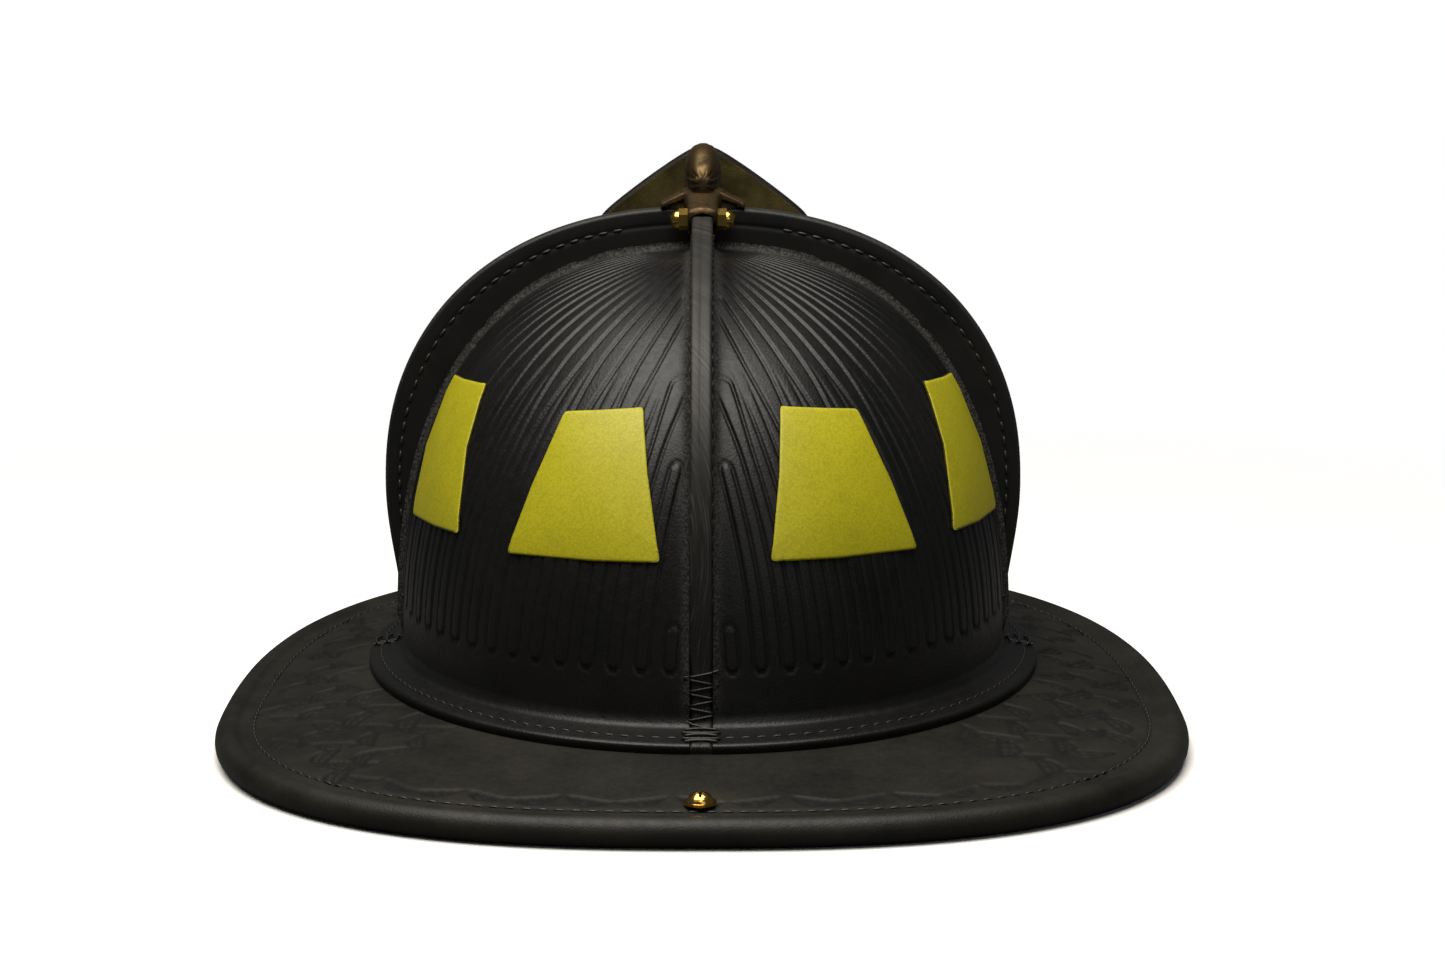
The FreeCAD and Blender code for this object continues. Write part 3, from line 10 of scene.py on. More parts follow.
import bmesh
import bpy
import numpy as np
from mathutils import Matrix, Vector


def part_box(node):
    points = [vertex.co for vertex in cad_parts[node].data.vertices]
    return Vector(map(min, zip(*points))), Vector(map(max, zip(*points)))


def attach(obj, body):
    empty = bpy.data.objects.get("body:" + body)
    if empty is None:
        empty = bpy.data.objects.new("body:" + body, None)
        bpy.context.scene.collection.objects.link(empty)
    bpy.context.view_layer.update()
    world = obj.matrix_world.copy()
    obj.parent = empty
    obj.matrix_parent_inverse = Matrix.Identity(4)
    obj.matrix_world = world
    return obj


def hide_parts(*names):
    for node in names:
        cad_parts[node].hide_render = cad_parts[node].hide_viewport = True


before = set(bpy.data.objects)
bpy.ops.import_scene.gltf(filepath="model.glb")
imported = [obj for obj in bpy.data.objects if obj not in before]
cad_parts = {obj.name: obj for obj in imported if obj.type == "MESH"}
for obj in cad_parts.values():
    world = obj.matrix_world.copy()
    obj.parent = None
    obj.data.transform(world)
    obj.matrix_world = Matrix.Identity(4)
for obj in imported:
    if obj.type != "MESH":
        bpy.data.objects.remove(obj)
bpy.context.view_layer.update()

MM = 0.001


def node_box(node):
    """Lowest and highest corners of a CAD node, in millimetres."""
    low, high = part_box(node)
    return np.array(low) / MM, np.array(high) / MM


# ---------------------------------------------------------------- driving sizes, from the frame

QUARTER_REAR = node_box("crown_rear_left")
QUARTER_FRONT = node_box("crown_front_left")
BRIM_BOX = node_box("brim")
SETBACK = (QUARTER_REAR[1][1] + QUARTER_FRONT[0][1]) / 2      # crown centre, along the helmet
FLANGE_EDGE = (QUARTER_REAR[1][1] - QUARTER_FRONT[0][1]) / 2
SQUEEZE = QUARTER_REAR[1][0] / FLANGE_EDGE                    # crown width against its length
FLANGE_WIDTH = 14.0
CROWN_R = FLANGE_EDGE - FLANGE_WIDTH
COMB_HALF = node_box("comb_rear")[1][0]
COMB_TOP = node_box("comb_rear")[1][2]
CROWN_TOP = QUARTER_REAR[1][2]
FOOT = 23.0                                                   # height of the wall's foot
RISE = 131.0                                                  # foot to the top of the crown
SQUARENESS = 2.43                                             # of the crown's upright section
LEATHER = 4.0                                                 # crown leather
FLANGE_LEATHER = 3.0
SEAT = 17.0                                                   # brim's top face under the wall
SEAT_SLOPE = 0.16
BRIM_LEATHER = 3.5
BRIM_HALF = BRIM_BOX[1][0]
BRIM_REAR = BRIM_BOX[1][1] - SETBACK
BRIM_FRONT = SETBACK - BRIM_BOX[0][1]
BRIM_WIDEST = 50.0                                            # behind the crown centre
BRIM_SQUARENESS = 2.5
ROLL = 4.75                                                   # radius of the rolled edge


# ---------------------------------------------------------------- making meshes

def helmet(points):
    """Crown-frame millimetres to metres in the helmet's frame."""
    return (np.asarray(points, float) + (0.0, SETBACK, 0.0)) * MM


def grid_faces(rows, columns, row_loop=False, column_loop=False):
    """Four-cornered faces between neighbouring points of a rows by columns grid."""
    i = np.arange(rows if row_loop else rows - 1)[:, None]
    j = np.arange(columns if column_loop else columns - 1)[None, :]
    below = (i + 1) % rows
    right = (j + 1) % columns
    corners = [i * columns + j, below * columns + j, below * columns + right, i * columns + right]
    return np.stack([np.broadcast_to(c, (i.size, j.size)) for c in corners], -1).reshape(-1, 4)


def signed_volume(points, faces):
    """Six times the volume inside a closed surface; negative when its faces point inwards."""
    total = 0.0
    for face in faces:
        corners = points[np.asarray(face)]
        a = corners[..., 0, :]
        for k in range(1, corners.shape[-2] - 1):
            b, c = corners[..., k, :], corners[..., k + 1, :]
            total += float(np.sum(a * np.cross(b, c)))
    return total


def make_piece(name, points, faces, material, caps=(), values=None, backing=None):
    """A mesh object from helmet-frame points, with its faces turned outwards; it rides the helmet.

    `faces` is an array of four-cornered faces and `caps` a list of flat closing faces; `values` are
    named numbers per point that its material reads.  `backing` is a second material and its share
    of the faces.  Points that fall together, as at a pole, are merged.
    """
    points = np.asarray(points, float).reshape(-1, 3)
    faces = np.asarray(faces)
    if signed_volume(points - points.mean(0), [faces, *caps]) < 0:
        faces = faces[:, ::-1]
        caps = [list(cap)[::-1] for cap in caps]
    mesh = bpy.data.meshes.new(name)
    mesh.from_pydata(points.tolist(), [], faces.tolist() + [list(map(int, cap)) for cap in caps])
    shade = np.full(len(mesh.polygons), True)
    shade[len(faces):] = False
    mesh.polygons.foreach_set("use_smooth", shade)
    for label, numbers in (values or {}).items():
        layer = mesh.attributes.new(label, "FLOAT", "POINT")
        layer.data.foreach_set("value", np.asarray(numbers, np.float32).ravel())
    mesh.materials.append(material)
    if backing:
        mesh.materials.append(backing[0])
        mesh.polygons.foreach_set("material_index", np.asarray(backing[1], np.int32))
    merged = bmesh.new()
    merged.from_mesh(mesh)
    bmesh.ops.remove_doubles(merged, verts=merged.verts, dist=1e-7)
    merged.to_mesh(mesh)
    merged.free()
    mesh.update()
    piece = bpy.data.objects.new(name, mesh)
    bpy.context.scene.collection.objects.link(piece)
    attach(piece, "helmet")
    return piece


def grid_normals(points):
    """Unit normals of a grid of points, by the cross product of its two directions."""
    across = np.cross(np.gradient(points, axis=0), np.gradient(points, axis=1))
    return across / np.maximum(np.linalg.norm(across, axis=-1, keepdims=True), 1e-9)


def unit(vectors):
    return vectors / np.maximum(np.linalg.norm(vectors, axis=-1, keepdims=True), 1e-9)


def join_grids(parts):
    """Several (points, faces) pairs as one."""
    points, faces, start = [], [], 0
    for own_points, own_faces in parts:
        own_points = np.asarray(own_points).reshape(-1, 3)
        points.append(own_points)
        faces.append(np.asarray(own_faces) + start)
        start += len(own_points)
    return np.concatenate(points), np.concatenate(faces)


def smooth_path(points, steps=10):
    """A Catmull-Rom curve: each span is the cubic whose end slopes are half the next chords."""
    p = np.asarray(points, float)
    ends = np.concatenate([2 * p[:1] - p[1:2], p, 2 * p[-1:] - p[-2:-1]])
    t = np.linspace(0, 1, steps, endpoint=False)[None, :, None]
    a, b, c, d = (ends[k:len(ends) - 3 + k][:, None, :] for k in range(4))
    curve = 0.5 * (2 * b + (c - a) * t + (2 * a - 5 * b + 4 * c - d) * t ** 2
                   + (3 * b - a - 3 * c + d) * t ** 3)
    return np.concatenate([curve.reshape(-1, p.shape[1]), p[-1:]])


def even_path(points, step):
    """Points along a path at an even distance of about `step`."""
    points = np.asarray(points, float)
    lengths = np.concatenate([[0], np.cumsum(np.linalg.norm(np.diff(points, axis=0), axis=1))])
    count = max(2, int(round(lengths[-1] / step)) + 1)
    places = np.linspace(0, lengths[-1], count)
    return np.stack([np.interp(places, lengths, points[:, k]) for k in range(points.shape[1])], -1)


def tube(path, radius, sides):
    """A round tube along a path: circles square to it, closed by a point at each end."""
    path = np.asarray(path, float)
    along = unit(np.gradient(path, axis=0))
    helper = np.where(np.abs(along[:, 2:3]) > 0.9, [[1.0, 0, 0]], [[0, 0, 1.0]])
    side = unit(np.cross(along, helper))
    up = np.cross(side, along)
    turn = np.linspace(0, 2 * np.pi, sides, endpoint=False)[None, :, None]
    rings = path[:, None] + radius * (side[:, None] * np.cos(turn) + up[:, None] * np.sin(turn))
    tips = [np.repeat(path[k][None, None], sides, 1) for k in (0, -1)]
    rings = np.concatenate([tips[0], rings, tips[1]])
    return rings, grid_faces(len(rings), sides, column_loop=True)


# ---------------------------------------------------------------- finishes

def linear(code):
    """An sRGB hex colour as linear red, green, blue and alpha."""
    parts = [int(code[k:k + 2], 16) / 255 for k in (1, 3, 5)]
    return tuple(c / 12.92 if c <= 0.04045 else ((c + 0.055) / 1.055) ** 2.4 for c in parts) + (1.0,)


def add(tree, kind, settings=None, links=None):
    """Adds a node: settings are its fields or its inputs' values, links are input: (node, output)."""
    node = tree.nodes.new("ShaderNode" + kind)
    for key, value in (settings or {}).items():
        if isinstance(key, str) and hasattr(node, key):
            setattr(node, key, value)
        else:
            node.inputs[key].default_value = value
    for key, (source, output) in (links or {}).items():
        tree.links.new(source.outputs[output], node.inputs[key])
    return node


def blank(name):
    """An empty material with its node tree."""
    material = bpy.data.materials.new(name)
    material.use_nodes = True
    material.node_tree.nodes.clear()
    return material, material.node_tree


def cells(size):
    """Pattern scale that gives cells of `size` millimetres on coordinates in metres."""
    return 1.0 / (size * MM)


def leather(name, deep, worn, roughness, grain=0.7, gloss=0.30, seam=False, cut=False):
    """Drum-dyed cowhide: a pebbled grain in fine cells, cloudy dye and slightly uneven polish.

    With `seam`, the piece's own `seam` number brings up the raw greyish fibres of a cut edge;
    with `cut`, its `cut` number darkens carved lines and the stitch groove towards black: painted shade in
    these recesses.
    """
    material, tree = blank(name)
    place = add(tree, "TexCoord")
    at = {"Vector": (place, "Object")}
    cloud = add(tree, "TexNoise", {"Scale": cells(34), "Detail": 4.0, "Roughness": 0.6}, at)
    pores = add(tree, "TexNoise", {"Scale": cells(2.6), "Detail": 5.0, "Roughness": 0.65}, at)
    pebble = add(tree, "TexVoronoi", {"feature": "SMOOTH_F1", "Scale": cells(grain), "Smoothness": 0.4}, at)
    dye = add(tree, "MapRange", {1: 0.36, 2: 0.72}, {0: (cloud, 0)})
    colour = add(tree, "Mix", {"data_type": "RGBA", 6: linear(deep), 7: linear(worn)}, {0: (dye, 0)})
    polish = add(tree, "MapRange", {1: 0.3, 2: 0.7, 3: roughness - 0.05, 4: roughness + 0.09},
                 {0: (pores, 0)})
    relief_sum = add(tree, "Math", {"operation": "MULTIPLY_ADD", 1: 0.55}, {0: (pores, 0), 2: (pebble, 0)})
    bump = add(tree, "Bump", {"Strength": 0.55, "Distance": 0.1 * MM}, {"Height": (relief_sum, 0)})
    shade, shine, relief_end = colour, polish, bump
    if seam:
        raw = add(tree, "Attribute", {"attribute_name": "seam"})
        fibre = add(tree, "TexNoise", {"Scale": cells(0.9), "Detail": 3.0, "Roughness": 0.7}, at)
        fleck = add(tree, "MapRange", {1: 0.42, 2: 0.62, 4: 0.75}, {0: (fibre, 0)})
        share = add(tree, "Math", {"operation": "MULTIPLY"}, {0: (raw, "Fac"), 1: (fleck, 0)})
        shade = add(tree, "Mix", {"data_type": "RGBA", 7: linear("#454440")},
                    {0: (share, 0), 6: (colour, 2)})
        shine = add(tree, "Mix", {"data_type": "FLOAT", 3: 0.8}, {0: (raw, "Fac"), 2: (polish, 0)})
        relief_end = add(tree, "Bump", {"Distance": 0.5 * MM},
                         {"Strength": (raw, "Fac"), "Height": (fibre, 0), "Normal": (bump, 0)})
    if cut:
        # painted shade: carved lines and the stitch groove are painted near-black, the deeper the darker
        line = add(tree, "Attribute", {"attribute_name": "cut"})
        shade = add(tree, "Mix", {"data_type": "RGBA", 7: linear("#020202")},
                    {0: (line, "Fac"), 6: (colour, 2)})
        shine = add(tree, "Mix", {"data_type": "FLOAT", 3: 0.85}, {0: (line, "Fac"), 2: (polish, 0)})
    skin = add(tree, "BsdfPrincipled", {"Specular IOR Level": gloss, "IOR": 1.48},
               {"Base Color": (shade, 2), "Roughness": (shine, 0), "Normal": (relief_end, 0)})
    add(tree, "OutputMaterial", {}, {"Surface": (skin, 0)})
    return material


def scratched_edge_painted_highlight(name):
    """Edge of built-up cowhide, flat on its crest: scratches along the crest face as wear, and the crest
    face painted paler grey than the black sides, a painted highlight.
    """
    material, tree = blank(name)
    place = add(tree, "TexCoord")
    run = add(tree, "Attribute", {"attribute_name": "along"})
    face = add(tree, "Attribute", {"attribute_name": "crest"})
    track = add(tree, "SeparateXYZ", {}, {0: (place, "Object")})
    lane = add(tree, "Math", {"operation": "ADD"}, {0: (track, 0), 1: (track, 1)})
    stretched = add(tree, "CombineXYZ", {}, {0: (lane, 0), 1: (run, "Fac")})
    squash = add(tree, "Mapping", {"Scale": (1.0, 0.022, 1.0)}, {"Vector": (stretched, 0)})
    scratch = add(tree, "TexNoise", {"Scale": cells(0.55), "Detail": 3.0, "Roughness": 0.7},
                  {"Vector": (squash, 0)})
    cloud = add(tree, "TexNoise", {"Scale": cells(16), "Detail": 4.0}, {"Vector": (place, "Object")})
    grain = add(tree, "TexNoise", {"Scale": cells(0.8), "Detail": 4.0, "Roughness": 0.7},
                {"Vector": (place, "Object")})
    side = add(tree, "MapRange", {1: 0.35, 2: 0.7}, {0: (cloud, 0)})
    black = add(tree, "Mix", {"data_type": "RGBA", 6: linear("#0a0a09"), 7: linear("#141311")},
                {0: (side, 0)})
    line = add(tree, "MapRange", {1: 0.5, 2: 0.7}, {0: (scratch, 0)})
    # painted highlight: the crest face is painted paler grey than the black sides, its scratch lines paler
    # still
    grey = add(tree, "Mix", {"data_type": "RGBA", 6: linear("#22211f"), 7: linear("#454340")},
               {0: (line, 0)})
    colour = add(tree, "Mix", {"data_type": "RGBA"}, {0: (face, "Fac"), 6: (black, 2), 7: (grey, 2)})
    height = add(tree, "Math", {"operation": "MULTIPLY_ADD", 1: 0.6}, {0: (scratch, 0), 2: (grain, 0)})
    bump = add(tree, "Bump", {"Strength": 0.5, "Distance": 0.12 * MM}, {"Height": (height, 0)})
    skin = add(tree, "BsdfPrincipled", {"Specular IOR Level": 0.3, "IOR": 1.48, "Roughness": 0.5},
               {"Base Color": (colour, 2), "Normal": (bump, 0)})
    add(tree, "OutputMaterial", {}, {"Surface": (skin, 0)})
    return material


def waxed_thread(name):
    """Waxed linen thread, dyed black: a dull twist with a faint shine."""
    material, tree = blank(name)
    place = add(tree, "TexCoord")
    fuzz = add(tree, "TexNoise", {"Scale": cells(0.5), "Detail": 3.0}, {"Vector": (place, "Object")})
    dye = add(tree, "Mix", {"data_type": "RGBA", 6: linear("#0b0b0a"), 7: linear("#2a2927")},
              {0: (fuzz, 0)})
    bump = add(tree, "Bump", {"Strength": 0.6, "Distance": 0.15 * MM}, {"Height": (fuzz, 0)})
    skin = add(tree, "BsdfPrincipled", {"Roughness": 0.45, "Specular IOR Level": 0.45, "IOR": 1.5},
               {"Base Color": (dye, 2), "Normal": (bump, 0)})
    add(tree, "OutputMaterial", {}, {"Surface": (skin, 0)})
    return material


def reflective_film(name):
    """Lime-yellow glass-bead film on backing leather: matt, with a fine beaded speckle."""
    material, tree = blank(name)
    place = add(tree, "TexCoord")
    at = {"Vector": (place, "Object")}
    beads = add(tree, "TexVoronoi", {"Scale": cells(0.8)}, at)
    soil = add(tree, "TexNoise", {"Scale": cells(9), "Detail": 5.0, "Roughness": 0.65}, at)
    speck = add(tree, "MapRange", {1: 0.0, 2: 0.75}, {0: (beads, 0)})
    bright = add(tree, "Mix", {"data_type": "RGBA", 6: linear("#b3ac17"), 7: linear("#9f9812")},
                 {0: (speck, 0)})
    dirt = add(tree, "MapRange", {1: 0.5, 2: 0.8, 4: 0.35}, {0: (soil, 0)})
    colour = add(tree, "Mix", {"data_type": "RGBA", 7: linear("#847e1a")}, {0: (dirt, 0), 6: (bright, 2)})
    edge = add(tree, "Attribute", {"attribute_name": "edge"})
    rim = add(tree, "Mix", {"data_type": "RGBA", 7: linear("#4a4512")}, {0: (edge, "Fac"), 6: (colour, 2)})
    bump = add(tree, "Bump", {"Strength": 0.35, "Distance": 0.06 * MM}, {"Height": (beads, 0)})
    skin = add(tree, "BsdfPrincipled", {"Roughness": 0.46, "IOR": 1.5, "Specular IOR Level": 0.4},
               {"Base Color": (rim, 2), "Normal": (bump, 0)})
    add(tree, "OutputMaterial", {}, {"Surface": (skin, 0)})
    return material


def brass(name, bright, dull, tarnish, roughness):
    """Cast or turned brass: yellow metal under a share of brown tarnish, duller where it lies."""
    material, tree = blank(name)
    place = add(tree, "TexCoord")
    at = {"Vector": (place, "Object")}
    cloud = add(tree, "TexNoise", {"Scale": cells(7), "Detail": 5.0, "Roughness": 0.65}, at)
    grit = add(tree, "TexNoise", {"Scale": cells(0.7), "Detail": 4.0, "Roughness": 0.7}, at)
    film = add(tree, "MapRange", {1: 0.62 - 0.3 * tarnish, 2: 0.86 - 0.3 * tarnish}, {0: (cloud, 0)})
    colour = add(tree, "Mix", {"data_type": "RGBA", 6: linear(bright), 7: linear(dull)}, {0: (film, 0)})
    shine = add(tree, "MapRange", {1: 0.0, 2: 1.0, 3: roughness, 4: min(roughness + 0.25, 0.9)},
                {0: (film, 0)})
    bump = add(tree, "Bump", {"Strength": 0.3, "Distance": 0.06 * MM}, {"Height": (grit, 0)})
    skin = add(tree, "BsdfPrincipled", {"Metallic": 1.0},
               {"Base Color": (colour, 2), "Roughness": (shine, 0), "Normal": (bump, 0)})
    add(tree, "OutputMaterial", {}, {"Surface": (skin, 0)})
    return material


CROWN_LEATHER = leather("crown_leather", "#090908", "#131211", 0.4, grain=0.8, gloss=0.34, seam=True)
# brim leather; its carved lines and stitch groove get painted shade
BRIM_COWHIDE = leather("brim_cowhide", "#12120f", "#25231d", 0.47, grain=0.6, gloss=0.26, cut=True)
COMB_EDGE_PAINTED_HIGHLIGHT = scratched_edge_painted_highlight("comb_edge_scratches_painted_highlight")
THREAD = waxed_thread("waxed_thread")
LIME_FILM = reflective_film("lime_reflective_film")
AGED_BRASS = brass("aged_cast_brass", "#655338", "#352c22", 0.75, 0.46)
TURNED_BRASS = brass("turned_brass", "#d8b25c", "#8a6b34", 0.12, 0.2)
SHIELD_FACE = leather("shield_face_leather", "#121110", "#211f1c", 0.4, grain=0.7)


# ---------------------------------------------------------------- the crown's form

def brim_seat(radius):
    """Height of the brim's top face under the flange, at a distance along the helmet's length."""
    return SEAT - (radius - CROWN_R) * SEAT_SLOPE


def meridian(inset, low, count):
    """Upright section of the crown: (distance, height) from height `low` to the top.

    Distance is radius * cos(t) ** (2/n) and height foot + rise * sin(t) ** (2/n); `inset` makes
    both radius and rise smaller.
    """
    radius, rise = CROWN_R - inset, RISE - inset
    start = math.asin((max(low - FOOT, 0.0) / rise) ** (SQUARENESS / 2))
    share = np.linspace(0, 1, 600)
    t = start + (np.pi / 2 - start) * share
    path = np.stack([radius * np.maximum(np.cos(t), 0) ** (2 / SQUARENESS),
                     FOOT + rise * np.sin(t) ** (2 / SQUARENESS)], -1)
    path[-1, 0] = 0.0
    return even_path(path, np.linalg.norm(np.diff(path, axis=0), axis=1).sum() / (count - 1))


def flange_section():
    """The turned-out flange from the wall's foot round to its inner face, as a list of corners."""
    bend = FLANGE_LEATHER
    gap = 0.05
    turn = np.linspace(0, np.pi / 2, 7)[1:]
    bend_low = brim_seat(CROWN_R + bend) + gap + FLANGE_LEATHER
    fillet = np.stack([CROWN_R + bend * (1 - np.cos(turn)),
                       FOOT - (FOOT - bend_low) * np.sin(turn)], -1)
    round_off = 0.9
    edge_top = brim_seat(FLANGE_EDGE) + gap + FLANGE_LEATHER
    top = even_path([fillet[-1], (FLANGE_EDGE - round_off, edge_top + round_off * SEAT_SLOPE)], 1.2)[1:]
    corner = np.linspace(0, np.pi / 2, 5)[1:]
    nose = np.stack([FLANGE_EDGE - round_off * (1 - np.sin(corner)),
                     edge_top - round_off * (1 - np.cos(corner))], -1)
    under = np.array([(FLANGE_EDGE, edge_top - FLANGE_LEATHER),
                      (CROWN_R, brim_seat(CROWN_R) + gap),
                      (CROWN_R - LEATHER, brim_seat(CROWN_R - LEATHER) + gap)])
    return fillet, top, nose, under


RIB_STEP = 5.1             # degrees between two ribs, round the crown
RIB_HALF = 1.28            # degrees from a rib's middle to its groove
RIB_SWEEP = 43.0           # degrees that a rib leans over from the foot to the top
RIB_FOOT = 7.0             # scaled elevation where the ribs end above the foot
RIB_REAR = 5.0             # ribs turn back this far from the rear or front comb
RIB_SIDE = 86.0            # ribs start at this bearing, beside a side comb
GROOVE_DEPTH = 0.8
GROOVE_WIDTH = 0.46


def rib_relief(bearing, elevation, per_bearing, per_elevation):
    """Depth of the embossed grooves: each rib is a long loop, pressed in all round its outline.

    A rib's middle line runs at bearing start - sweep * (elevation / 90) ** 2, so the ribs rise
    from the foot and lean over to the rear or front comb, where each loop closes in a half round.
    Half way up every second loop fades out and its neighbours widen into the room it leaves.
    """
    lean = RIB_SWEEP * (elevation / 90) ** 2
    slope = 2 * RIB_SWEEP * elevation / 8100 * per_bearing / per_elevation
    slant = np.sqrt(1 + slope ** 2)
    groove = np.zeros_like(bearing)
    valley = np.zeros_like(bearing)
    merge = np.clip((elevation - 34) / 16, 0, 1)
    merge = merge ** 2 * (3 - 2 * merge)
    for index, start in enumerate(np.arange(5.7, 130.0, RIB_STEP)):
        if start > RIB_SIDE:
            low = 90 * math.sqrt((start - RIB_SIDE) / RIB_SWEEP)
        else:
            low = RIB_FOOT
        high = min(90 * math.sqrt(max(start - RIB_REAR, 0.0) / RIB_SWEEP), 84.0)
        if high <= low + 2:
            continue
        across = np.abs(bearing - start + lean) * per_bearing / slant
        past = np.maximum(np.maximum(elevation - high, low - elevation), 0) * per_elevation
        reach = np.hypot(across, past)
        half = RIB_HALF * (1 + merge * (index % 2 == 0)) * per_bearing / slant
        strength = 1 - merge * (index % 2 == 1)
        groove = np.maximum(groove, strength * np.exp(-((reach - half) / GROOVE_WIDTH) ** 2))
        past_edge = np.minimum((reach - half) / (0.6 * GROOVE_WIDTH), 40)
        valley = np.maximum(valley, 1 / (1 + np.exp(past_edge)))
    fade = np.clip((82 - elevation) / 8, 0, 1)
    return -(GROOVE_DEPTH * groove + 0.22 * (1 - valley) * (1 - merge)) * fade


FILLET = 2.8               # the leather bends up to a comb in this radius
SEAM_BAND = 3.6            # columns next to a comb are packed into this width
PACKED = np.array([0.0, 0.04, 0.1, 0.17, 0.25, 0.34, 0.44, 0.55, 0.66, 0.77, 0.88])


def quarter_bearings(radius, gap, middle):
    """Bearings of a quarter's columns at each radius, packed beside both combs."""
    radius = radius[:, None]
    band = np.clip(0.25 * (0.9 * radius - 5.0), 0.05, SEAM_BAND)
    near = gap + PACKED[None, :] * band
    rear = np.arcsin(np.clip(near / (SQUEEZE * radius), 0, 1))
    side = np.arccos(np.clip(near / radius, 0, 1))[:, ::-1]
    first = np.arcsin(np.clip((gap + band) / (SQUEEZE * radius), 0, 1))
    last = np.arccos(np.clip((gap + band) / radius, 0, 1))
    share = np.linspace(0, 1, middle)[None, :]
    return np.concatenate([rear, first + (last - first) * share, side], 1)


def make_crown_quarter(end, side, x_sign, y_sign):
    """A crown quarter: the closed section of wall and flange, carried from comb to comb."""
    gap = COMB_HALF + 0.05
    nearest = gap * math.sqrt(1 + 1 / SQUEEZE ** 2) + 0.12
    outer = meridian(0.0, FOOT, 215)
    outer = outer[outer[:, 0] > nearest]
    outer = np.concatenate([outer, [[nearest, CROWN_TOP]]])
    inner = meridian(LEATHER, FOOT, 26)
    inner = inner[inner[:, 0] > nearest]
    inner = np.concatenate([inner, [[nearest, CROWN_TOP - LEATHER]]])
    fillet, top, nose, under = flange_section()
    section = np.concatenate([outer[::-1], fillet, top, nose, under, inner])
    rows = len(section)
    wall_rows = len(outer)
    shown = rows - len(inner) - len(under)
    turn = quarter_bearings(section[:, 0], gap, 320)
    radius = section[:, :1]
    x = SQUEEZE * radius * np.sin(turn)
    y = radius * np.cos(turn)
    points = np.stack([x, y, np.broadcast_to(section[:, 1:], x.shape)], -1)

    normals = grid_normals(points[:shown])
    normals *= np.sign(np.sum(normals * (points[:shown] - (0, 0, 60.0)), -1, keepdims=True))
    bearing = np.degrees(turn[:wall_rows])
    up = (points[:wall_rows, :, 2] - FOOT) / RISE
    elevation = np.degrees(np.arctan2(up, radius[:wall_rows] / CROWN_R))
    per_bearing = radius[:wall_rows] * np.hypot(SQUEEZE * np.cos(turn[:wall_rows]),
                                                np.sin(turn[:wall_rows])) * math.pi / 180
    height = np.zeros(x.shape)[:shown]
    height[:wall_rows] = rib_relief(bearing, elevation, per_bearing, CROWN_R * math.pi / 180)
    beside = np.minimum(x[:shown] - gap, y[:shown] - gap)
    bend = 1 - np.clip(beside / FILLET, 0, 1)
    lift = FILLET * (1 - np.sqrt(np.clip(1 - bend ** 2, 0, 1)))
    on_wall = np.clip((section[:shown, 1:] - brim_seat(CROWN_R) - 4.0) / 8.0, 0, 1)
    points[:shown] += normals * (height + lift * on_wall * 0.85)[..., None]
    points[:, :, 0] = np.maximum(points[:, :, 0], gap)
    points[:, :, 1] = np.maximum(points[:, :, 1], gap)

    seam = np.zeros(x.shape)
    seam[:shown] = np.exp(-(np.maximum(beside, 0) / 2.4) ** 2) * on_wall
    points = points * (x_sign, y_sign, 1)
    columns = x.shape[1]
    faces = grid_faces(rows, columns, row_loop=True)
    caps = [np.arange(rows) * columns, (np.arange(rows) * columns + columns - 1)[::-1]]
    name = "crown_%s_%s" % (end, side)
    piece = make_piece(name + "_leather", helmet(points), faces, CROWN_LEATHER, caps=caps,
                       values={"seam": seam})
    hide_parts(name)


for side, x_sign in (("left", 1), ("right", -1)):
    for end, y_sign in (("rear", 1), ("front", -1)):
        make_crown_quarter(end, side, x_sign, y_sign)


# ---------------------------------------------------------------- the combs

BULGE = 5.5                # how far a comb stands out of the wall at its widest
BULGE_HEIGHT = 74.0
CREST_SQUARENESS = 2.25
CREST_ROUND = 1.3          # rounding of the crest's two edges
COMB_STITCH = 5.6          # crest to the stitch row


def comb_crest(radius):
    """The comb's outer line from top to foot.

    Above the widest height it is a superellipse; below, radius + bulge * cos(u * 90 deg) ** 2.
    """
    t = np.linspace(np.pi / 2, 0, 400)
    crest = np.stack([(radius + BULGE) * np.maximum(np.cos(t), 0) ** (2 / CREST_SQUARENESS),
                      BULGE_HEIGHT + (COMB_TOP - BULGE_HEIGHT) * np.sin(t) ** (2 / CREST_SQUARENESS)], -1)
    crest[0, 0] = 0.0
    u = np.linspace(0, 1, 80)[1:]
    skirt = np.stack([radius + BULGE * np.cos(u * np.pi / 2) ** 2,
                      BULGE_HEIGHT - (BULGE_HEIGHT - FOOT) * u], -1)
    return np.concatenate([crest, skirt])


def comb_lines(radius, start):
    """Paired outer and inner lines of a comb, from its top to the flange's edge."""
    share = radius / CROWN_R
    fillet, top, nose, _ = flange_section()
    flange = np.concatenate([fillet, top, nose])
    flange[:, 0] *= share
    crest = even_path(comb_crest(radius), 1.0)
    crest = crest[crest[:, 0] >= start]
    inner = meridian(LEATHER, FOOT, 200)[::-1]
    inner[:, 0] *= share
    inner = inner[inner[:, 0] >= start]
    inner = even_path(inner, np.linalg.norm(np.diff(inner, axis=0), axis=1).sum() / (len(crest) - 1))
    inner = inner[:len(crest)]
    low = np.interp(flange[:, 0], [(CROWN_R - LEATHER) * share, FLANGE_EDGE * share],
                    [brim_seat(CROWN_R - LEATHER) + 0.05, brim_seat(FLANGE_EDGE) + 0.05])
    flange_low = np.stack([flange[:, 0] - 0.4, low], -1)
    return np.concatenate([crest, flange]), np.concatenate([inner, flange_low]), len(crest)


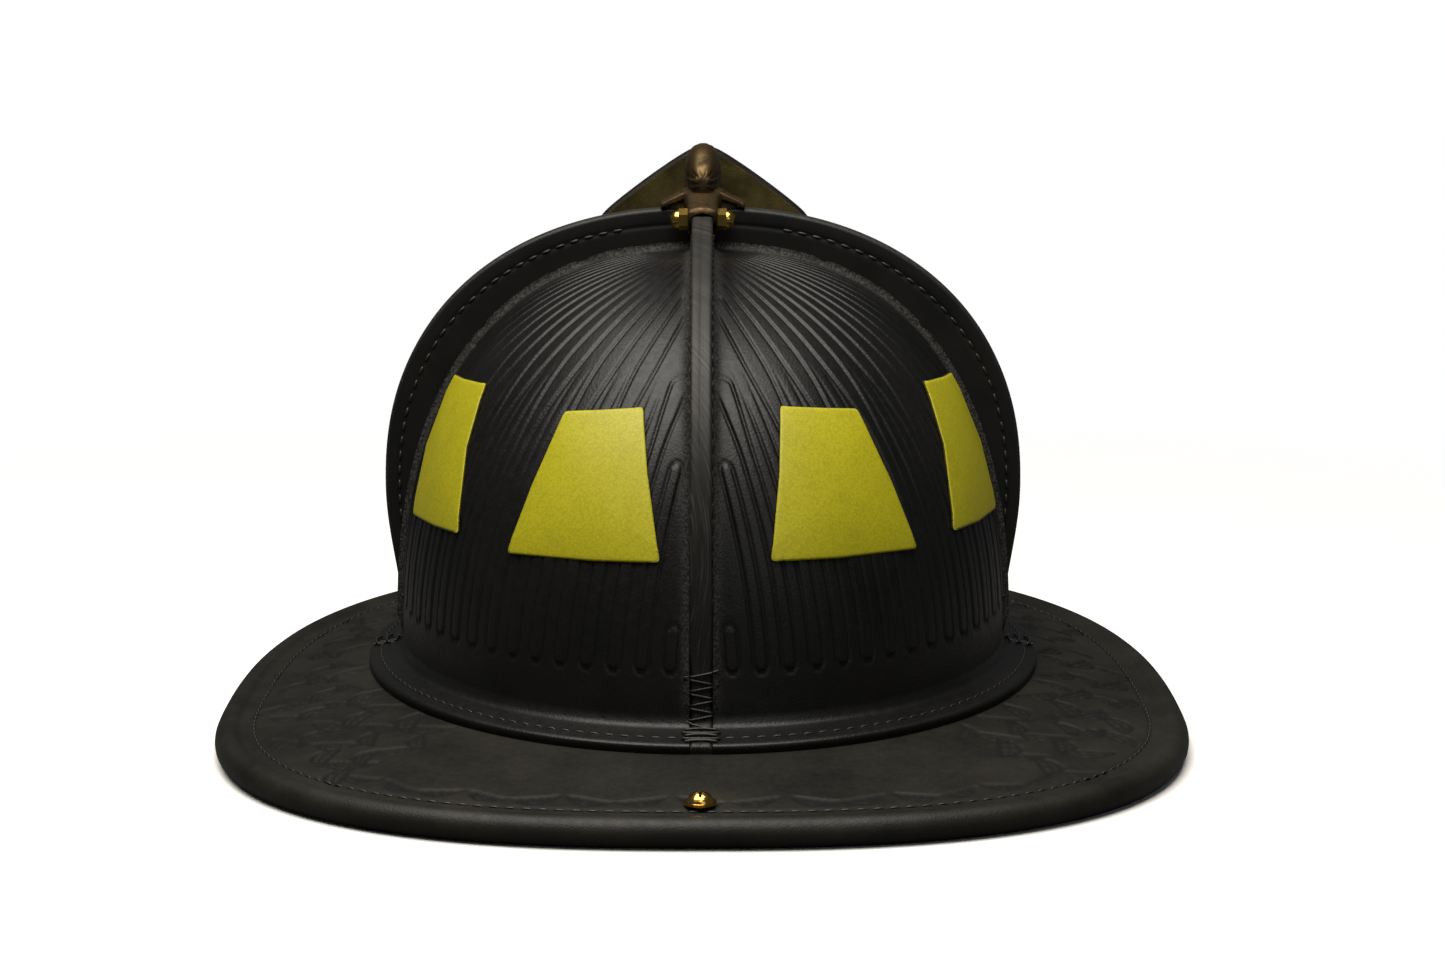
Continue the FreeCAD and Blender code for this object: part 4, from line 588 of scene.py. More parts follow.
def comb_section():
    """Half a comb's cross-section in three parts, from its inner edge out to its rounded crest.

    The straight side is given as shares of the comb's depth, the stitch groove as (depth below the
    crest, dip) and the crest's corner as (depth below the crest, distance from the middle plane).
    """
    turn = np.linspace(0, np.pi / 2, 6)
    corner = np.stack([CREST_ROUND * (1 - np.sin(turn)), COMB_HALF - CREST_ROUND * (1 - np.cos(turn))], -1)
    side = (1.0, 0.7, 0.45)
    groove = np.array([(COMB_STITCH + k, -0.28 * math.exp(-(k / 0.7) ** 2)) for k in
                       (2.0, 1.2, 0.8, 0.4, 0.0, -0.4, -0.8, -1.2, -2.0)])
    return side, groove, corner


def make_comb(name, radius, axis, sign):
    """A comb: its cross-section carried down the crest line on an upright centre plane."""
    start = 0.05 if axis == 1 else COMB_HALF + 0.05
    outer, inner, wall_count = comb_lines(radius, start)
    along = np.concatenate([[0], np.cumsum(np.linalg.norm(np.diff(outer, axis=0), axis=1))])
    inward = inner - outer
    depth = np.linalg.norm(inward, axis=1)
    inward = inward / depth[:, None]
    side, groove, corner = comb_section()
    lanes = []                                     # (depth in mm, half width) for each point of a half
    room = np.clip((depth - 1.5) / 8.0, 0.0, 1.0)
    for share in side:
        lanes.append((np.maximum(share * depth, (COMB_STITCH + 2.2) * room), COMB_HALF))
    for place, dip in groove:
        lanes.append((place * room + (1 - room) * np.minimum(place, depth * 0.5), COMB_HALF + dip * room))
    for down, half in corner:
        lanes.append((np.minimum(down, depth * 0.4), half))
    lanes.append((0.0, COMB_HALF * 0.45))
    lanes.append((0.0, 0.35))
    lanes.append((0.22, 0.0))
    lanes += [(down, -half) for down, half in lanes[-2::-1]]
    downs = np.stack([np.minimum(np.broadcast_to(np.asarray(d, float), depth.shape), depth)
                      for d, _ in lanes], 1)
    wides = np.stack([np.broadcast_to(np.asarray(w, float), depth.shape) for _, w in lanes], 1)
    flat = outer[:, None] + inward[:, None] * downs[..., None]
    points = np.zeros(flat.shape[:2] + (3,))
    points[..., axis] = sign * flat[..., 0]
    points[..., 1 - axis] = wides
    points[..., 2] = flat[..., 1]
    rows, columns = flat.shape[:2]
    # the top 1.2 mm of the section: its material paints this crest face paler grey as a painted highlight
    crest = np.clip(1 - downs / 1.2, 0, 1)
    grain = np.broadcast_to(along[:, None] * MM, crest.shape)
    caps = [np.arange(columns), (rows - 1) * columns + np.arange(columns)[::-1]]
    piece = make_piece(name + "_leather", helmet(points), grid_faces(rows, columns, column_loop=True),
                       COMB_EDGE_PAINTED_HIGHLIGHT, caps=caps, values={"crest": crest, "along": grain})
    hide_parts(name)
    return outer, inward, wall_count


COMBS = {
    "comb_rear": (CROWN_R, 1, 1),
    "comb_front": (CROWN_R, 1, -1),
    "comb_left": (CROWN_R * SQUEEZE, 0, 1),
    "comb_right": (CROWN_R * SQUEEZE, 0, -1),
}
COMB_PATHS = {name: make_comb(name, *where) for name, where in COMBS.items()}


# ---------------------------------------------------------------- the brim

BRIM_AROUND = 1060
BRIM_STITCH = 13.0         # rolled edge to the brim's stitch row


def signed_power(value, exponent):
    return np.sign(value) * np.abs(value) ** exponent


def brim_edge():
    """The brim's outline: two half superellipses on one widest line."""
    t = 2 * np.pi * (np.arange(7200) + 0.5) / 7200
    reach = np.where(np.sin(t) > 0, BRIM_REAR - BRIM_WIDEST, BRIM_FRONT + BRIM_WIDEST)
    shape = 2 / BRIM_SQUARENESS
    edge = np.stack([BRIM_HALF * signed_power(np.cos(t), shape),
                     BRIM_WIDEST + reach * signed_power(np.sin(t), shape)], -1)
    closed = np.concatenate([edge, edge[:1]])
    steps = np.linalg.norm(np.diff(closed, axis=0), axis=1)
    return even_path(closed, steps.sum() / BRIM_AROUND)[:-1]


BRIM_EDGE = brim_edge()
BRIM_ANGLE = np.arctan2(BRIM_EDGE[:, 1] / CROWN_R, BRIM_EDGE[:, 0] / (CROWN_R * SQUEEZE))
BRIM_IN = unit(np.stack([-np.gradient(BRIM_EDGE[:, 1]), np.gradient(BRIM_EDGE[:, 0])], -1))


def brim_ring(radius):
    """An ellipse of the crown's proportions whose points face the outline's."""
    return radius * np.stack([SQUEEZE * np.cos(BRIM_ANGLE), np.sin(BRIM_ANGLE)], -1)


def roll_line(bearing):
    """Inset from the edge and height of a line on the roll; 0 is outside and 90 on top."""
    turn = np.radians(bearing)
    return ROLL * (1 - np.cos(turn)), ROLL * (1 + np.sin(turn))


TOP_INSET, TOP_LOW = roll_line(135.0)


def brim_top(share):
    """A line round the brim's top face, from the flange's edge (0) to the roll (1).

    `share` is one number or one for each point round the brim.
    """
    share = np.broadcast_to(share, (BRIM_AROUND,))
    start = brim_ring(FLANGE_EDGE)
    end = BRIM_EDGE + BRIM_IN * TOP_INSET
    place = start + (end - start) * share[:, None]
    height = brim_seat(FLANGE_EDGE) + (TOP_LOW - brim_seat(FLANGE_EDGE)) * share
    return np.concatenate([place, height[:, None]], -1)


BRIM_DEPTH = np.linalg.norm(brim_top(1.0)[:, :2] - brim_top(0.0)[:, :2], axis=1)   # flange to roll


def brim_inset_line(inset):
    """A line on the brim's top face at a distance in from the rolled edge."""
    return brim_top(1 - (inset - TOP_INSET) / BRIM_DEPTH)


def leaf_relief(place, centre, turn, length, width):
    """Relief of one carved leaf: a cut round its pointed outline and down its middle rib.

    Its outline is half width = width * sin(pi * s) ** 0.8, s running from stem to tip.
    """
    offset = place - centre
    u = (offset[..., 0] * math.cos(turn) + offset[..., 1] * math.sin(turn)) / length + 0.5
    v = -offset[..., 0] * math.sin(turn) + offset[..., 1] * math.cos(turn)
    v = v - 0.16 * length * (u - 0.5) ** 2 * 4
    inside = (u > 0) & (u < 1)
    s = np.clip(u, 0, 1)
    half = width * np.sin(np.pi * s) ** 0.8 * (1 - 0.35 * s)
    beyond = np.maximum(np.maximum(-u, u - 1), 0) * length
    outline = np.exp(-((np.hypot(np.abs(v) - half, beyond)) / 0.8) ** 2)
    rib = np.exp(-(v / 0.7) ** 2) * inside * (s > 0.1) * (s < 0.85)
    veins = np.exp(-((np.abs(v) - 0.55 * half) / 0.6) ** 2) * inside * (np.sin(s * 26) > 0.2) * 0.6
    return np.maximum(np.maximum(outline, 0.8 * rib), veins)


def carving(place):
    """Depth of the leaves carved in the brim: rows of leaves at both sides, a border front and rear.

    Neighbouring leaves turn opposite ways, so that they cross like a scroll.
    """
    relief = np.zeros(place.shape[:-1])
    edge = BRIM_EDGE + BRIM_IN * BRIM_STITCH
    start = brim_ring(FLANGE_EDGE)
    tangent = np.stack([BRIM_IN[:, 1], -BRIM_IN[:, 0]], -1)
    draw = np.random.default_rng(7)
    angles = np.degrees(BRIM_ANGLE) % 360
    for side in (0, 180):
        for k, bearing in enumerate(np.arange(-46, 52, 7.0)):
            spot = int(np.argmin(np.abs((angles - side - (bearing if side == 0 else -bearing)) % 360)))
            room = edge[spot] - start[spot]
            reach = np.linalg.norm(room)
            if reach < 12:
                continue
            for m, level in enumerate(np.arange(8.0, reach - 3, 9.5)):
                centre = start[spot] + room * (level + draw.uniform(-1.5, 1.5)) / reach
                centre = centre + tangent[spot] * draw.uniform(-4, 4)
                heading = math.atan2(tangent[spot][1], tangent[spot][0])
                turn = heading + (0.75 if (k + m) % 2 else -0.75) + draw.uniform(-0.3, 0.3)
                length = min(17.0, 0.55 * reach) * draw.uniform(0.8, 1.15)
                near = np.linalg.norm(place - centre, axis=-1) < 14
                if near.any():
                    leaf = leaf_relief(place[near], centre, turn, length, length * 0.2)
                    relief[near] = np.maximum(relief[near], leaf)
    for k, spot in enumerate(np.linspace(0, BRIM_AROUND, 64, endpoint=False).astype(int)):
        if abs(math.sin(BRIM_ANGLE[spot])) < 0.72:
            continue
        centre = (BRIM_EDGE + BRIM_IN * (BRIM_STITCH + 6.5))[spot]
        heading = math.atan2(tangent[spot][1], tangent[spot][0])
        turn = heading + (0.3 if k % 2 else -0.3)
        near = np.linalg.norm(place - centre, axis=-1) < 12
        if near.any():
            leaf = leaf_relief(place[near], centre, turn, 13.0, 2.2)
            relief[near] = np.maximum(relief[near], leaf)
    return relief


def make_brim():
    """The brim: one closed section of top face, rolled edge, under face and mouth, carried round."""
    mouth = CROWN_R - LEATHER
    lines = [np.column_stack([brim_ring(r), np.full(BRIM_AROUND, brim_seat(r))])
             for r in (mouth, FLANGE_EDGE - 2, FLANGE_EDGE)]
    shares = np.linspace(0, 1, 62)[1:-1]
    lines += [brim_top(share) for share in shares]
    top_end = len(lines)
    for bearing in np.arange(135.0, -181.0, -15.0):
        inset, height = roll_line(bearing)
        lines.append(np.column_stack([BRIM_EDGE + BRIM_IN * inset, np.full(BRIM_AROUND, height)]))
    for radius in (FLANGE_EDGE, mouth):
        lines.append(np.column_stack([brim_ring(radius),
                                      np.full(BRIM_AROUND, brim_seat(radius) - BRIM_LEATHER)]))
    points = np.stack(lines)
    top = points[3:top_end]
    inset = TOP_INSET + (1 - shares[:, None]) * BRIM_DEPTH[None, :]
    carved = carving(top[..., :2])
    groove = 0.45 * np.exp(-((inset - BRIM_STITCH) / 0.9) ** 2)
    top[..., 2] -= np.maximum(carved, groove)
    points[3:top_end] = top
    # painted shade in the carved leaves and the stitch groove: the deeper the cut, the darker its painted
    # colour
    painted_shade_in_cuts = np.zeros(points.shape[:2])
    painted_shade_in_cuts[3:top_end] = np.clip(np.maximum(1.4 * carved, 1.8 * groove), 0, 1)
    piece = make_piece("brim_leather_form", helmet(points),
                       grid_faces(len(points), BRIM_AROUND, row_loop=True, column_loop=True), BRIM_COWHIDE,
                       values={"cut": painted_shade_in_cuts})
    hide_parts("brim")


make_brim()


# ---------------------------------------------------------------- stitching

STITCH_SIDES = 6
STITCH_PITCH = 5.0
STITCH_LENGTH = 3.6
STITCH_RADIUS = 0.42


def stitch_row(path, normals, radius=STITCH_RADIUS):
    """Short rounded dashes of thread along a path, each dipping into the leather at its ends.

    A dash is a tube of half-ellipse radius: radius * sqrt(1 - s ** 2), s from -1 to 1 along it.
    """
    path = np.asarray(path, float)
    lengths = np.concatenate([[0], np.cumsum(np.linalg.norm(np.diff(path, axis=0), axis=1))])
    middles = np.arange(STITCH_PITCH / 2, lengths[-1] - STITCH_PITCH / 4, STITCH_PITCH)

    def at(places, values):
        return np.stack([np.interp(places, lengths, values[:, k]) for k in range(3)], -1)

    s = np.array([-1.0, -0.82, -0.4, 0.4, 0.82, 1.0])
    centre = at(middles[:, None] + s[None, :] * STITCH_LENGTH / 2, path)
    normal = unit(at(middles[:, None] + 0 * s[None, :], np.asarray(normals, float)))
    along = unit(at(middles + 0.4, path) - at(middles - 0.4, path))[:, None]
    side = unit(np.cross(along, normal))
    centre = centre + normal * (0.3 * (1 - s ** 2) - 0.12)[None, :, None]
    turn = np.linspace(0, 2 * np.pi, STITCH_SIDES, endpoint=False)
    swell = (radius * np.sqrt(np.maximum(1 - s ** 2, 0.0)))[None, :, None, None]
    ring = normal[:, :, None] * np.sin(turn)[None, None, :, None]
    ring = ring + side[:, :, None] * np.cos(turn)[None, None, :, None]
    points = (centre[:, :, None] + swell * ring).reshape(-1, 3)
    one = grid_faces(len(s), STITCH_SIDES, column_loop=True)
    starts = np.arange(len(middles)) * len(s) * STITCH_SIDES
    return points, (one[None] + starts[:, None, None]).reshape(-1, 4)


def make_stitching():
    """All machine stitching in the black leather: brim, flanges and both faces of each comb."""
    line = brim_inset_line(BRIM_STITCH)
    line[:, 2] -= 0.3
    up = np.tile([0.0, 0.0, 1.0], (len(line), 1))
    rows = [stitch_row(np.concatenate([line, line[:1]]), np.concatenate([up, up[:1]]))]
    middle = FLANGE_EDGE - 5.0
    for x_sign in (1, -1):
        for y_sign in (1, -1):
            a = math.asin((COMB_HALF + 3) / (SQUEEZE * middle))
            b = math.acos((COMB_HALF + 3) / middle)
            t = np.linspace(a, b, 160)
            height = brim_seat(middle) + 0.05 + FLANGE_LEATHER
            row = np.stack([x_sign * SQUEEZE * middle * np.sin(t), y_sign * middle * np.cos(t),
                            np.full(t.shape, height)], -1)
            rows.append(stitch_row(row, np.tile([0.0, 0, 1.0], (160, 1)), radius=0.38))
    for name, (_, axis, sign) in COMBS.items():
        outer, inward, count = COMB_PATHS[name]
        start = np.argmax(outer[:, 0] > 26)
        stop = count - 14
        flat = outer[start:stop] + inward[start:stop] * COMB_STITCH
        for face in (1, -1):
            row = np.zeros((len(flat), 3))
            row[:, axis] = sign * flat[:, 0]
            row[:, 1 - axis] = face * (COMB_HALF - 0.18)
            row[:, 2] = flat[:, 1]
            normal = np.zeros((len(flat), 3))
            normal[:, 1 - axis] = face
            rows.append(stitch_row(row, normal, radius=0.55))
    points, faces = join_grids(rows)
    return make_piece("machine_stitching", helmet(points), faces, THREAD)


make_stitching()


def make_comb_lacing():
    """Hand lacing over the foot of each comb: thread that zigzags across it, down to the flange."""
    tubes = []
    for name, (radius, axis, sign) in COMBS.items():
        outer = COMB_PATHS[name][0]
        crest = outer[outer[:, 1] < 40]
        heights = np.linspace(38.0, 19.5, 9)
        reach = np.interp(heights, crest[::-1, 1], crest[::-1, 0])
        for k in range(8):
            flip = 5.6 if k % 2 else -5.6
            start, end = (flip, reach[k], heights[k]), (-flip, reach[k + 1], heights[k + 1])
            tubes.append((axis, sign, over_comb(start, end)))
        for k in range(5):
            out = CROWN_R + 3.5 + k * 2.2
            height = brim_seat(out) + FLANGE_LEATHER + 0.6
            tubes.append((axis, sign, over_flange(out * radius / CROWN_R, height, k)))
    parts = []
    for axis, sign, flat in tubes:
        path = np.zeros((len(flat), 3))
        path[:, 1 - axis] = flat[:, 0]
        path[:, axis] = sign * flat[:, 1]
        path[:, 2] = flat[:, 2]
        parts.append(tube(path, STITCH_RADIUS, STITCH_SIDES))
    points, faces = join_grids(parts)
    return make_piece("comb_lacing", helmet(points), faces, THREAD)


def over_comb(start, end):
    """A thread from one side of a comb to the other: flat over the crest, drawn in at its edges."""
    s = np.linspace(0, 1, 13)[:, None]
    path = np.asarray(start) * (1 - s) + np.asarray(end) * s
    sideways = np.clip(np.abs(path[:, :1]) / (COMB_HALF + 0.6), 0, 1)
    path[:, 1:2] += 0.55 - 5.2 * np.maximum(sideways - 0.75, 0)
    return path


def over_flange(out, height, k):
    """A thread lying across a comb's flange in a shallow bow; every second one bows outwards."""
    s = np.linspace(-1, 1, 13)
    bow = 1.4 * (1 - s ** 2) * (1 if k % 2 else -0.4)
    return np.stack([s * (5.0 + k % 2), out + bow, height + 0.25 * (1 - s ** 2)], -1)


make_comb_lacing()


# ---------------------------------------------------------------- reflective patches

# name, side, rear or front, bearings from the centre line of the upper and of the lower corners
PATCHES = [
    ("rear_inner", 1, 1, (12.8, 31.0), (7.3, 38.2)),
    ("rear_outer", 1, 1, (59.0, 82.5), (52.1, 75.2)),
    ("rear_inner", -1, 1, (17.5, 36.0), (12.5, 43.5)),
    ("rear_outer", -1, 1, (62.0, 85.0), (54.7, 81.0)),
    ("front_inner", 1, -1, (14.0, 33.0), (9.0, 40.0)),
    ("front_outer", 1, -1, (60.0, 83.0), (53.0, 78.0)),
    ("front_inner", -1, -1, (14.0, 33.0), (9.0, 40.0)),
    ("front_outer", -1, -1, (60.0, 83.0), (53.0, 78.0)),
]
PATCH_TOP, PATCH_LOW = 116.0, 71.0
PATCH_WALL = 0.9
PATCH_GAP = 0.12


def dome_point(bearing, height, lift):
    """A point on the crown's outside, by bearing in degrees and height, raised by `lift`."""
    out = (CROWN_R + lift) * (1 - ((height - FOOT) / (RISE + lift)) ** SQUARENESS) ** (1 / SQUARENESS)
    turn = np.radians(bearing)
    return np.stack([SQUEEZE * out * np.sin(turn), out * np.cos(turn), height], -1)


def make_patch(name, x_sign, y_sign, upper, lower):
    """A reflective patch: a four-cornered sheet on the dome, with a finely pinked edge.

    Rings of a superellipse of exponent 40 fill a square, whose (s, t) from 0 to 1 blend the four
    corners' bearings and heights; the edge is cut in shallow teeth.
    """
    side = "left" if x_sign > 0 else "right"
    rim = np.linspace(0, 2 * np.pi, 720, endpoint=False)
    exponent = 2 / 40
    square = np.stack([signed_power(np.cos(rim), exponent), signed_power(np.sin(rim), exponent)], -1)
    rings = np.concatenate([np.linspace(0, 1, 26)[1:] ** 0.9, [1.0, 1.0]])
    teeth = 1 - 0.006 * (1 + np.sin(rim * 120)) / 2
    flat = square[None] * rings[:, None, None]
    flat[-3:] *= teeth[None, :, None]
    s, t = (flat[..., 0] + 1) / 2, (flat[..., 1] + 1) / 2
    rise = [PATCH_LOW, PATCH_LOW - 2, PATCH_TOP, PATCH_TOP - 3]
    bearing = (lower[0] * (1 - s) + lower[1] * s) * (1 - t) + (upper[0] * (1 - s) + upper[1] * s) * t
    height = (rise[0] * (1 - s) + rise[1] * s) * (1 - t) + (rise[2] * (1 - s) + rise[3] * s) * t
    lift = np.full(s.shape, PATCH_GAP + PATCH_WALL)
    lift[-3] -= 0.12
    lift[-1] = PATCH_GAP
    lift[-2] -= 0.3
    points = dome_point(bearing, height, lift) * (x_sign, y_sign, 1)
    centre_out = dome_point(np.mean(bearing[0]), np.mean(height[0]), PATCH_GAP + PATCH_WALL)
    centre_out = centre_out * (x_sign, y_sign, 1)
    centre_in = dome_point(np.mean(bearing[0]), np.mean(height[0]), PATCH_GAP) * (x_sign, y_sign, 1)
    count = len(rim)
    grid = np.concatenate([np.repeat(centre_out[None, None], count, 1), points,
                           np.repeat(centre_in[None, None], count, 1)])
    edge = np.zeros(grid.shape[:2])
    edge[-3:] = 1.0
    piece = make_piece("patch_%s_%s" % (name, side), helmet(grid),
                       grid_faces(len(grid), count, column_loop=True), LIME_FILM, values={"edge": edge})
    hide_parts("reflective_%s_%s" % (name, side))


for patch in PATCHES:
    make_patch(*patch)


# ---------------------------------------------------------------- front-piece holder

HOLDER_BOX = node_box("front_piece_holder")
HUMP_TIP = HOLDER_BOX[0][1] - SETBACK
HUMP_TOP = HOLDER_BOX[1][2]
HUMP_CREST = -8.0          # fore of the crown's centre
HUMP_END = 17.0            # crest to the end of its round rear
HUMP_TALL = 24.0
HUMP_WIDE = 12.8
ARM_REACH = 14.0           # middle to the end of each arm
SHIELD_FOOT = 27.0
SHIELD_HEIGHT = 158.0
SHIELD_HALF = 59.0
SHIELD_WALL = 4.0
SHIELD_BEND = 110.0
SHIELD_REACH = FLANGE_EDGE + 16.5
SHIELD_LEAN = math.radians(20.2)


def closed_loft(rings):
    """Closed rings joined in order, shut at both ends by their middle points."""
    count = rings.shape[1]
    tips = [np.repeat(ring.mean(0)[None, None], count, 1) for ring in (rings[0], rings[-1])]
    grid = np.concatenate([tips[0], rings, tips[1]])
    return grid, grid_faces(len(grid), count, column_loop=True)


def rounded_ring(half_wide, half_tall, exponent, count=64):
    """A superellipse: half_wide * cos(t) ** (2/n) across and half_tall * sin(t) ** (2/n) up."""
    t = np.linspace(0, 2 * np.pi, count, endpoint=False)
    return (half_wide * signed_power(np.cos(t), 2 / exponent),
            half_tall * signed_power(np.sin(t), 2 / exponent), t)


def hump_rings():
    """The holder's hump: ovals along a low arch, covered below its crest with pressed feathers.

    A feather's edge is where the length along the arch, or the height at the round end, plus half
    a sine round the oval passes a whole number of feathers; the surface steps down there by up to
    1 mm.
    """
    rings = []
    end = HUMP_CREST + HUMP_END
    for y in np.concatenate([end - HUMP_END * (1 - np.cos(np.linspace(0.12, np.pi / 2, 26))),
                             np.linspace(HUMP_CREST, HUMP_TIP + 0.4, 90)[1:]]):
        if y > HUMP_CREST:
            full = math.sqrt(max(1 - ((y - HUMP_CREST) / HUMP_END) ** 2, 0.0))
            high, wide, middle = HUMP_TALL * full, HUMP_WIDE * full ** 0.8, HUMP_TOP - HUMP_TALL / 2
        else:
            share = (HUMP_CREST - y) / (HUMP_CREST - HUMP_TIP)
            high = HUMP_TALL - 18.0 * share ** 0.8
            wide = HUMP_WIDE * (1 - 0.33 * share ** 1.5)
            middle = HUMP_TOP - HUMP_TALL / 2 + 3.5 * (1 - (1 - share) ** 2) - 8.3 * share ** 2
        across, up, t = rounded_ring(wide / 2, high / 2, 2.25, 96)
        lane = (end - y) / 4.2 + 0.5 * np.abs(np.sin(4 * t))
        step = lane - np.floor(lane)
        low = np.clip((HUMP_TOP - 7.0 - (middle + up)) / 2.0, 0, 1) if y > -22 else 1.0
        bands = (middle + up) / 4.6 + 0.35 * np.abs(np.sin(5 * t))
        step = np.where(y > -4, bands - np.floor(bands), step)
        press = (1.0 * np.exp(-step / 0.2) + 0.4 * np.exp(-((np.sin(5 * t)) / 0.3) ** 2)) * low
        press = press * min(high / 8.0, 1.0)
        scale = 1 - press / np.maximum(np.hypot(across, up), 1.0)
        rings.append(np.stack([across * scale, np.full(t.shape, y), middle + up * scale], -1))
    return np.stack(rings)


def arm_rings():
    """The arms over the side combs: one bowed bar whose ends turn down on to the crests."""
    rings = []
    for x in np.linspace(-ARM_REACH, ARM_REACH, 41):
        share = abs(x) / ARM_REACH
        top = COMB_TOP + 7.6 - 6.0 * share ** 1.25
        thick = 3.6 - 1.6 * share
        across, up, t = rounded_ring(COMB_HALF + 1.4, thick / 2, 5.0, 48)
        rings.append(np.stack([np.full(t.shape, x), across, top - thick / 2 + up], -1))
    return np.stack(rings)


def channel_rings(ends, tops, lows, flare):
    """A channel over a comb: an arch with two cheeks, carried from y = ends[0] to ends[1]."""
    rings = []
    outer_half, inner_half = COMB_HALF + 1.4, COMB_HALF + 0.08
    s = np.linspace(-1, 1, 25)
    for share in np.linspace(0, 1, 25):
        y = ends[0] + (ends[1] - ends[0]) * share
        top = tops[0] + (tops[1] - tops[0]) * share
        low = lows[0] + (lows[1] - lows[0]) * max(share - 0.55, 0) / 0.45
        half = outer_half + flare * math.exp(-(share * 4.2) ** 2)
        arch = np.stack([half * s, top - 2.2 * (1 - np.sqrt(1 - 0.96 * s ** 2))], -1)
        roof = max(COMB_TOP + 0.15, top - 2.4)
        inside = np.stack([-inner_half * s, roof - 0.8 * s ** 2], -1)
        inside[:, 1] = np.minimum(inside[:, 1], top - 1.4)
        section = np.concatenate([[(-outer_half, low)], arch, [(outer_half, low), (inner_half, low)],
                                  inside, [(-inner_half, low)]])
        rings.append(np.stack([section[:, 0], np.full(len(section), y), section[:, 1]], -1))
    return np.stack(rings)


def make_holder():
    """The brass holder: hump, bowed arms and two channels, cast in one."""
    rear = channel_rings((1.0, 23.0), (COMB_TOP + 7.2, COMB_TOP + 2.0), (160.0, 164.8), 2.6)
    front = channel_rings((-1.0, -34.0), (COMB_TOP + 7.0, COMB_TOP + 2.0), (160.0, 162.5), 1.0)
    rings = (hump_rings(), arm_rings(), rear, front[:, ::-1])
    points, faces = join_grids([closed_loft(part) for part in rings])
    piece = make_piece("holder_casting", helmet(points), faces, AGED_BRASS)
    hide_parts("front_piece_holder")


make_holder()


def make_comb_crossing():
    """Leather where the four combs meet: a low mound that fills the holder's bowed arms."""
    rings = []
    for x in np.linspace(-11.5, 11.5, 25):
        swell = math.sqrt(max(1 - (abs(x) / 11.6) ** 2, 0.0))
        across, up, t = rounded_ring(COMB_HALF - 0.1, 0.6 + 2.4 * swell, 4.0, 32)
        rings.append(np.stack([np.full(t.shape, x), across, COMB_TOP + 0.2 + up], -1))
    points, faces = closed_loft(np.stack(rings))
    plain = np.zeros(points.shape[:2])
    piece = make_piece("comb_crossing", helmet(points), faces, COMB_EDGE_PAINTED_HIGHLIGHT,
                       values={"crest": plain, "along": plain})


make_comb_crossing()


# ---------------------------------------------------------------- front shield

SHIELD_SIDE = SHIELD_HALF * np.array([0.0, 0.20, 0.62, 0.86, 1.00, 0.97, 0.82, 0.66, 0.54, 0.10, 0.0])
SHIELD_UP = SHIELD_HEIGHT * np.array([0.0, 0.0, 0.07, 0.20, 0.42, 0.60, 0.76, 0.84, 0.885, 1.0, 1.0])


def shield_place(across, up, out):
    """A point on the bent and leaning shield, `out` in front of its back face."""
    y = SHIELD_BEND - np.sqrt((SHIELD_BEND + out) ** 2 - across ** 2)
    return np.stack([across, -SHIELD_REACH + y * math.cos(SHIELD_LEAN) + up * math.sin(SHIELD_LEAN),
                     SHIELD_FOOT - y * math.sin(SHIELD_LEAN) + up * math.cos(SHIELD_LEAN)], -1)


def shield_rim():
    """The shield's whole outline, smoothed through its corners, as (across, up)."""
    half = np.stack([SHIELD_SIDE, SHIELD_UP], -1)
    left = half[-2:0:-1] * (-1, 1)
    curve = smooth_path(np.concatenate([half, left, half[:1]]), 12)
    return even_path(curve, 1.6)[:-1]


SHIELD_RIM = shield_rim()
SHIELD_MIDDLE = np.array([0.0, SHIELD_HEIGHT * 0.5])


def make_front_shield():
    """The shield: front and back faces in rings about the middle, joined by a rounded edge.

    A ring at share s lies s of the way from the middle to the outline.  Two lines are tooled
    round the front, 3 and 8 mm in from the edge.
    """
    shares = np.concatenate([np.linspace(0, 0.86, 30), np.linspace(0.87, 0.995, 26)])
    reach = np.linalg.norm(SHIELD_RIM - SHIELD_MIDDLE, axis=1)
    rows = []
    for share in shares:
        flat = SHIELD_MIDDLE + (SHIELD_RIM - SHIELD_MIDDLE) * share
        inward = reach * (1 - share)
        tooled = 0.5 * np.exp(-((inward - 3.2) / 0.7) ** 2) + 0.4 * np.exp(-((inward - 8.0) / 0.6) ** 2)
        rows.append(shield_place(flat[:, 0], flat[:, 1], SHIELD_WALL - tooled))
    for out in (3.6, 2.0, 0.4):
        flat = SHIELD_MIDDLE + (SHIELD_RIM - SHIELD_MIDDLE) * (1.0 if out != 2.0 else 1.004)
        rows.append(shield_place(flat[:, 0], flat[:, 1], out))
    for share in shares[::-1]:
        flat = SHIELD_MIDDLE + (SHIELD_RIM - SHIELD_MIDDLE) * share
        rows.append(shield_place(flat[:, 0], flat[:, 1], 0.0))
    points = np.stack(rows)
    count = points.shape[1]
    faces = grid_faces(len(points), count, column_loop=True)
    behind = np.repeat(np.arange(len(points) - 1) >= len(shares) + 3, count)
    piece = make_piece("front_shield_leather", helmet(points), faces, SHIELD_FACE,
                       backing=(SHIELD_BACK, behind))
    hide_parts("front_shield")
    inset = SHIELD_MIDDLE + (SHIELD_RIM - SHIELD_MIDDLE) * (1 - 5.6 / reach[:, None])
    points, faces = stitch_row(shield_place(inset[:, 0], inset[:, 1], SHIELD_WALL),
                               np.tile([0, -math.cos(SHIELD_LEAN), math.sin(SHIELD_LEAN)], (len(inset), 1)),
                               radius=0.4)
    make_piece("shield_stitching", helmet(points), faces, PALE_THREAD)


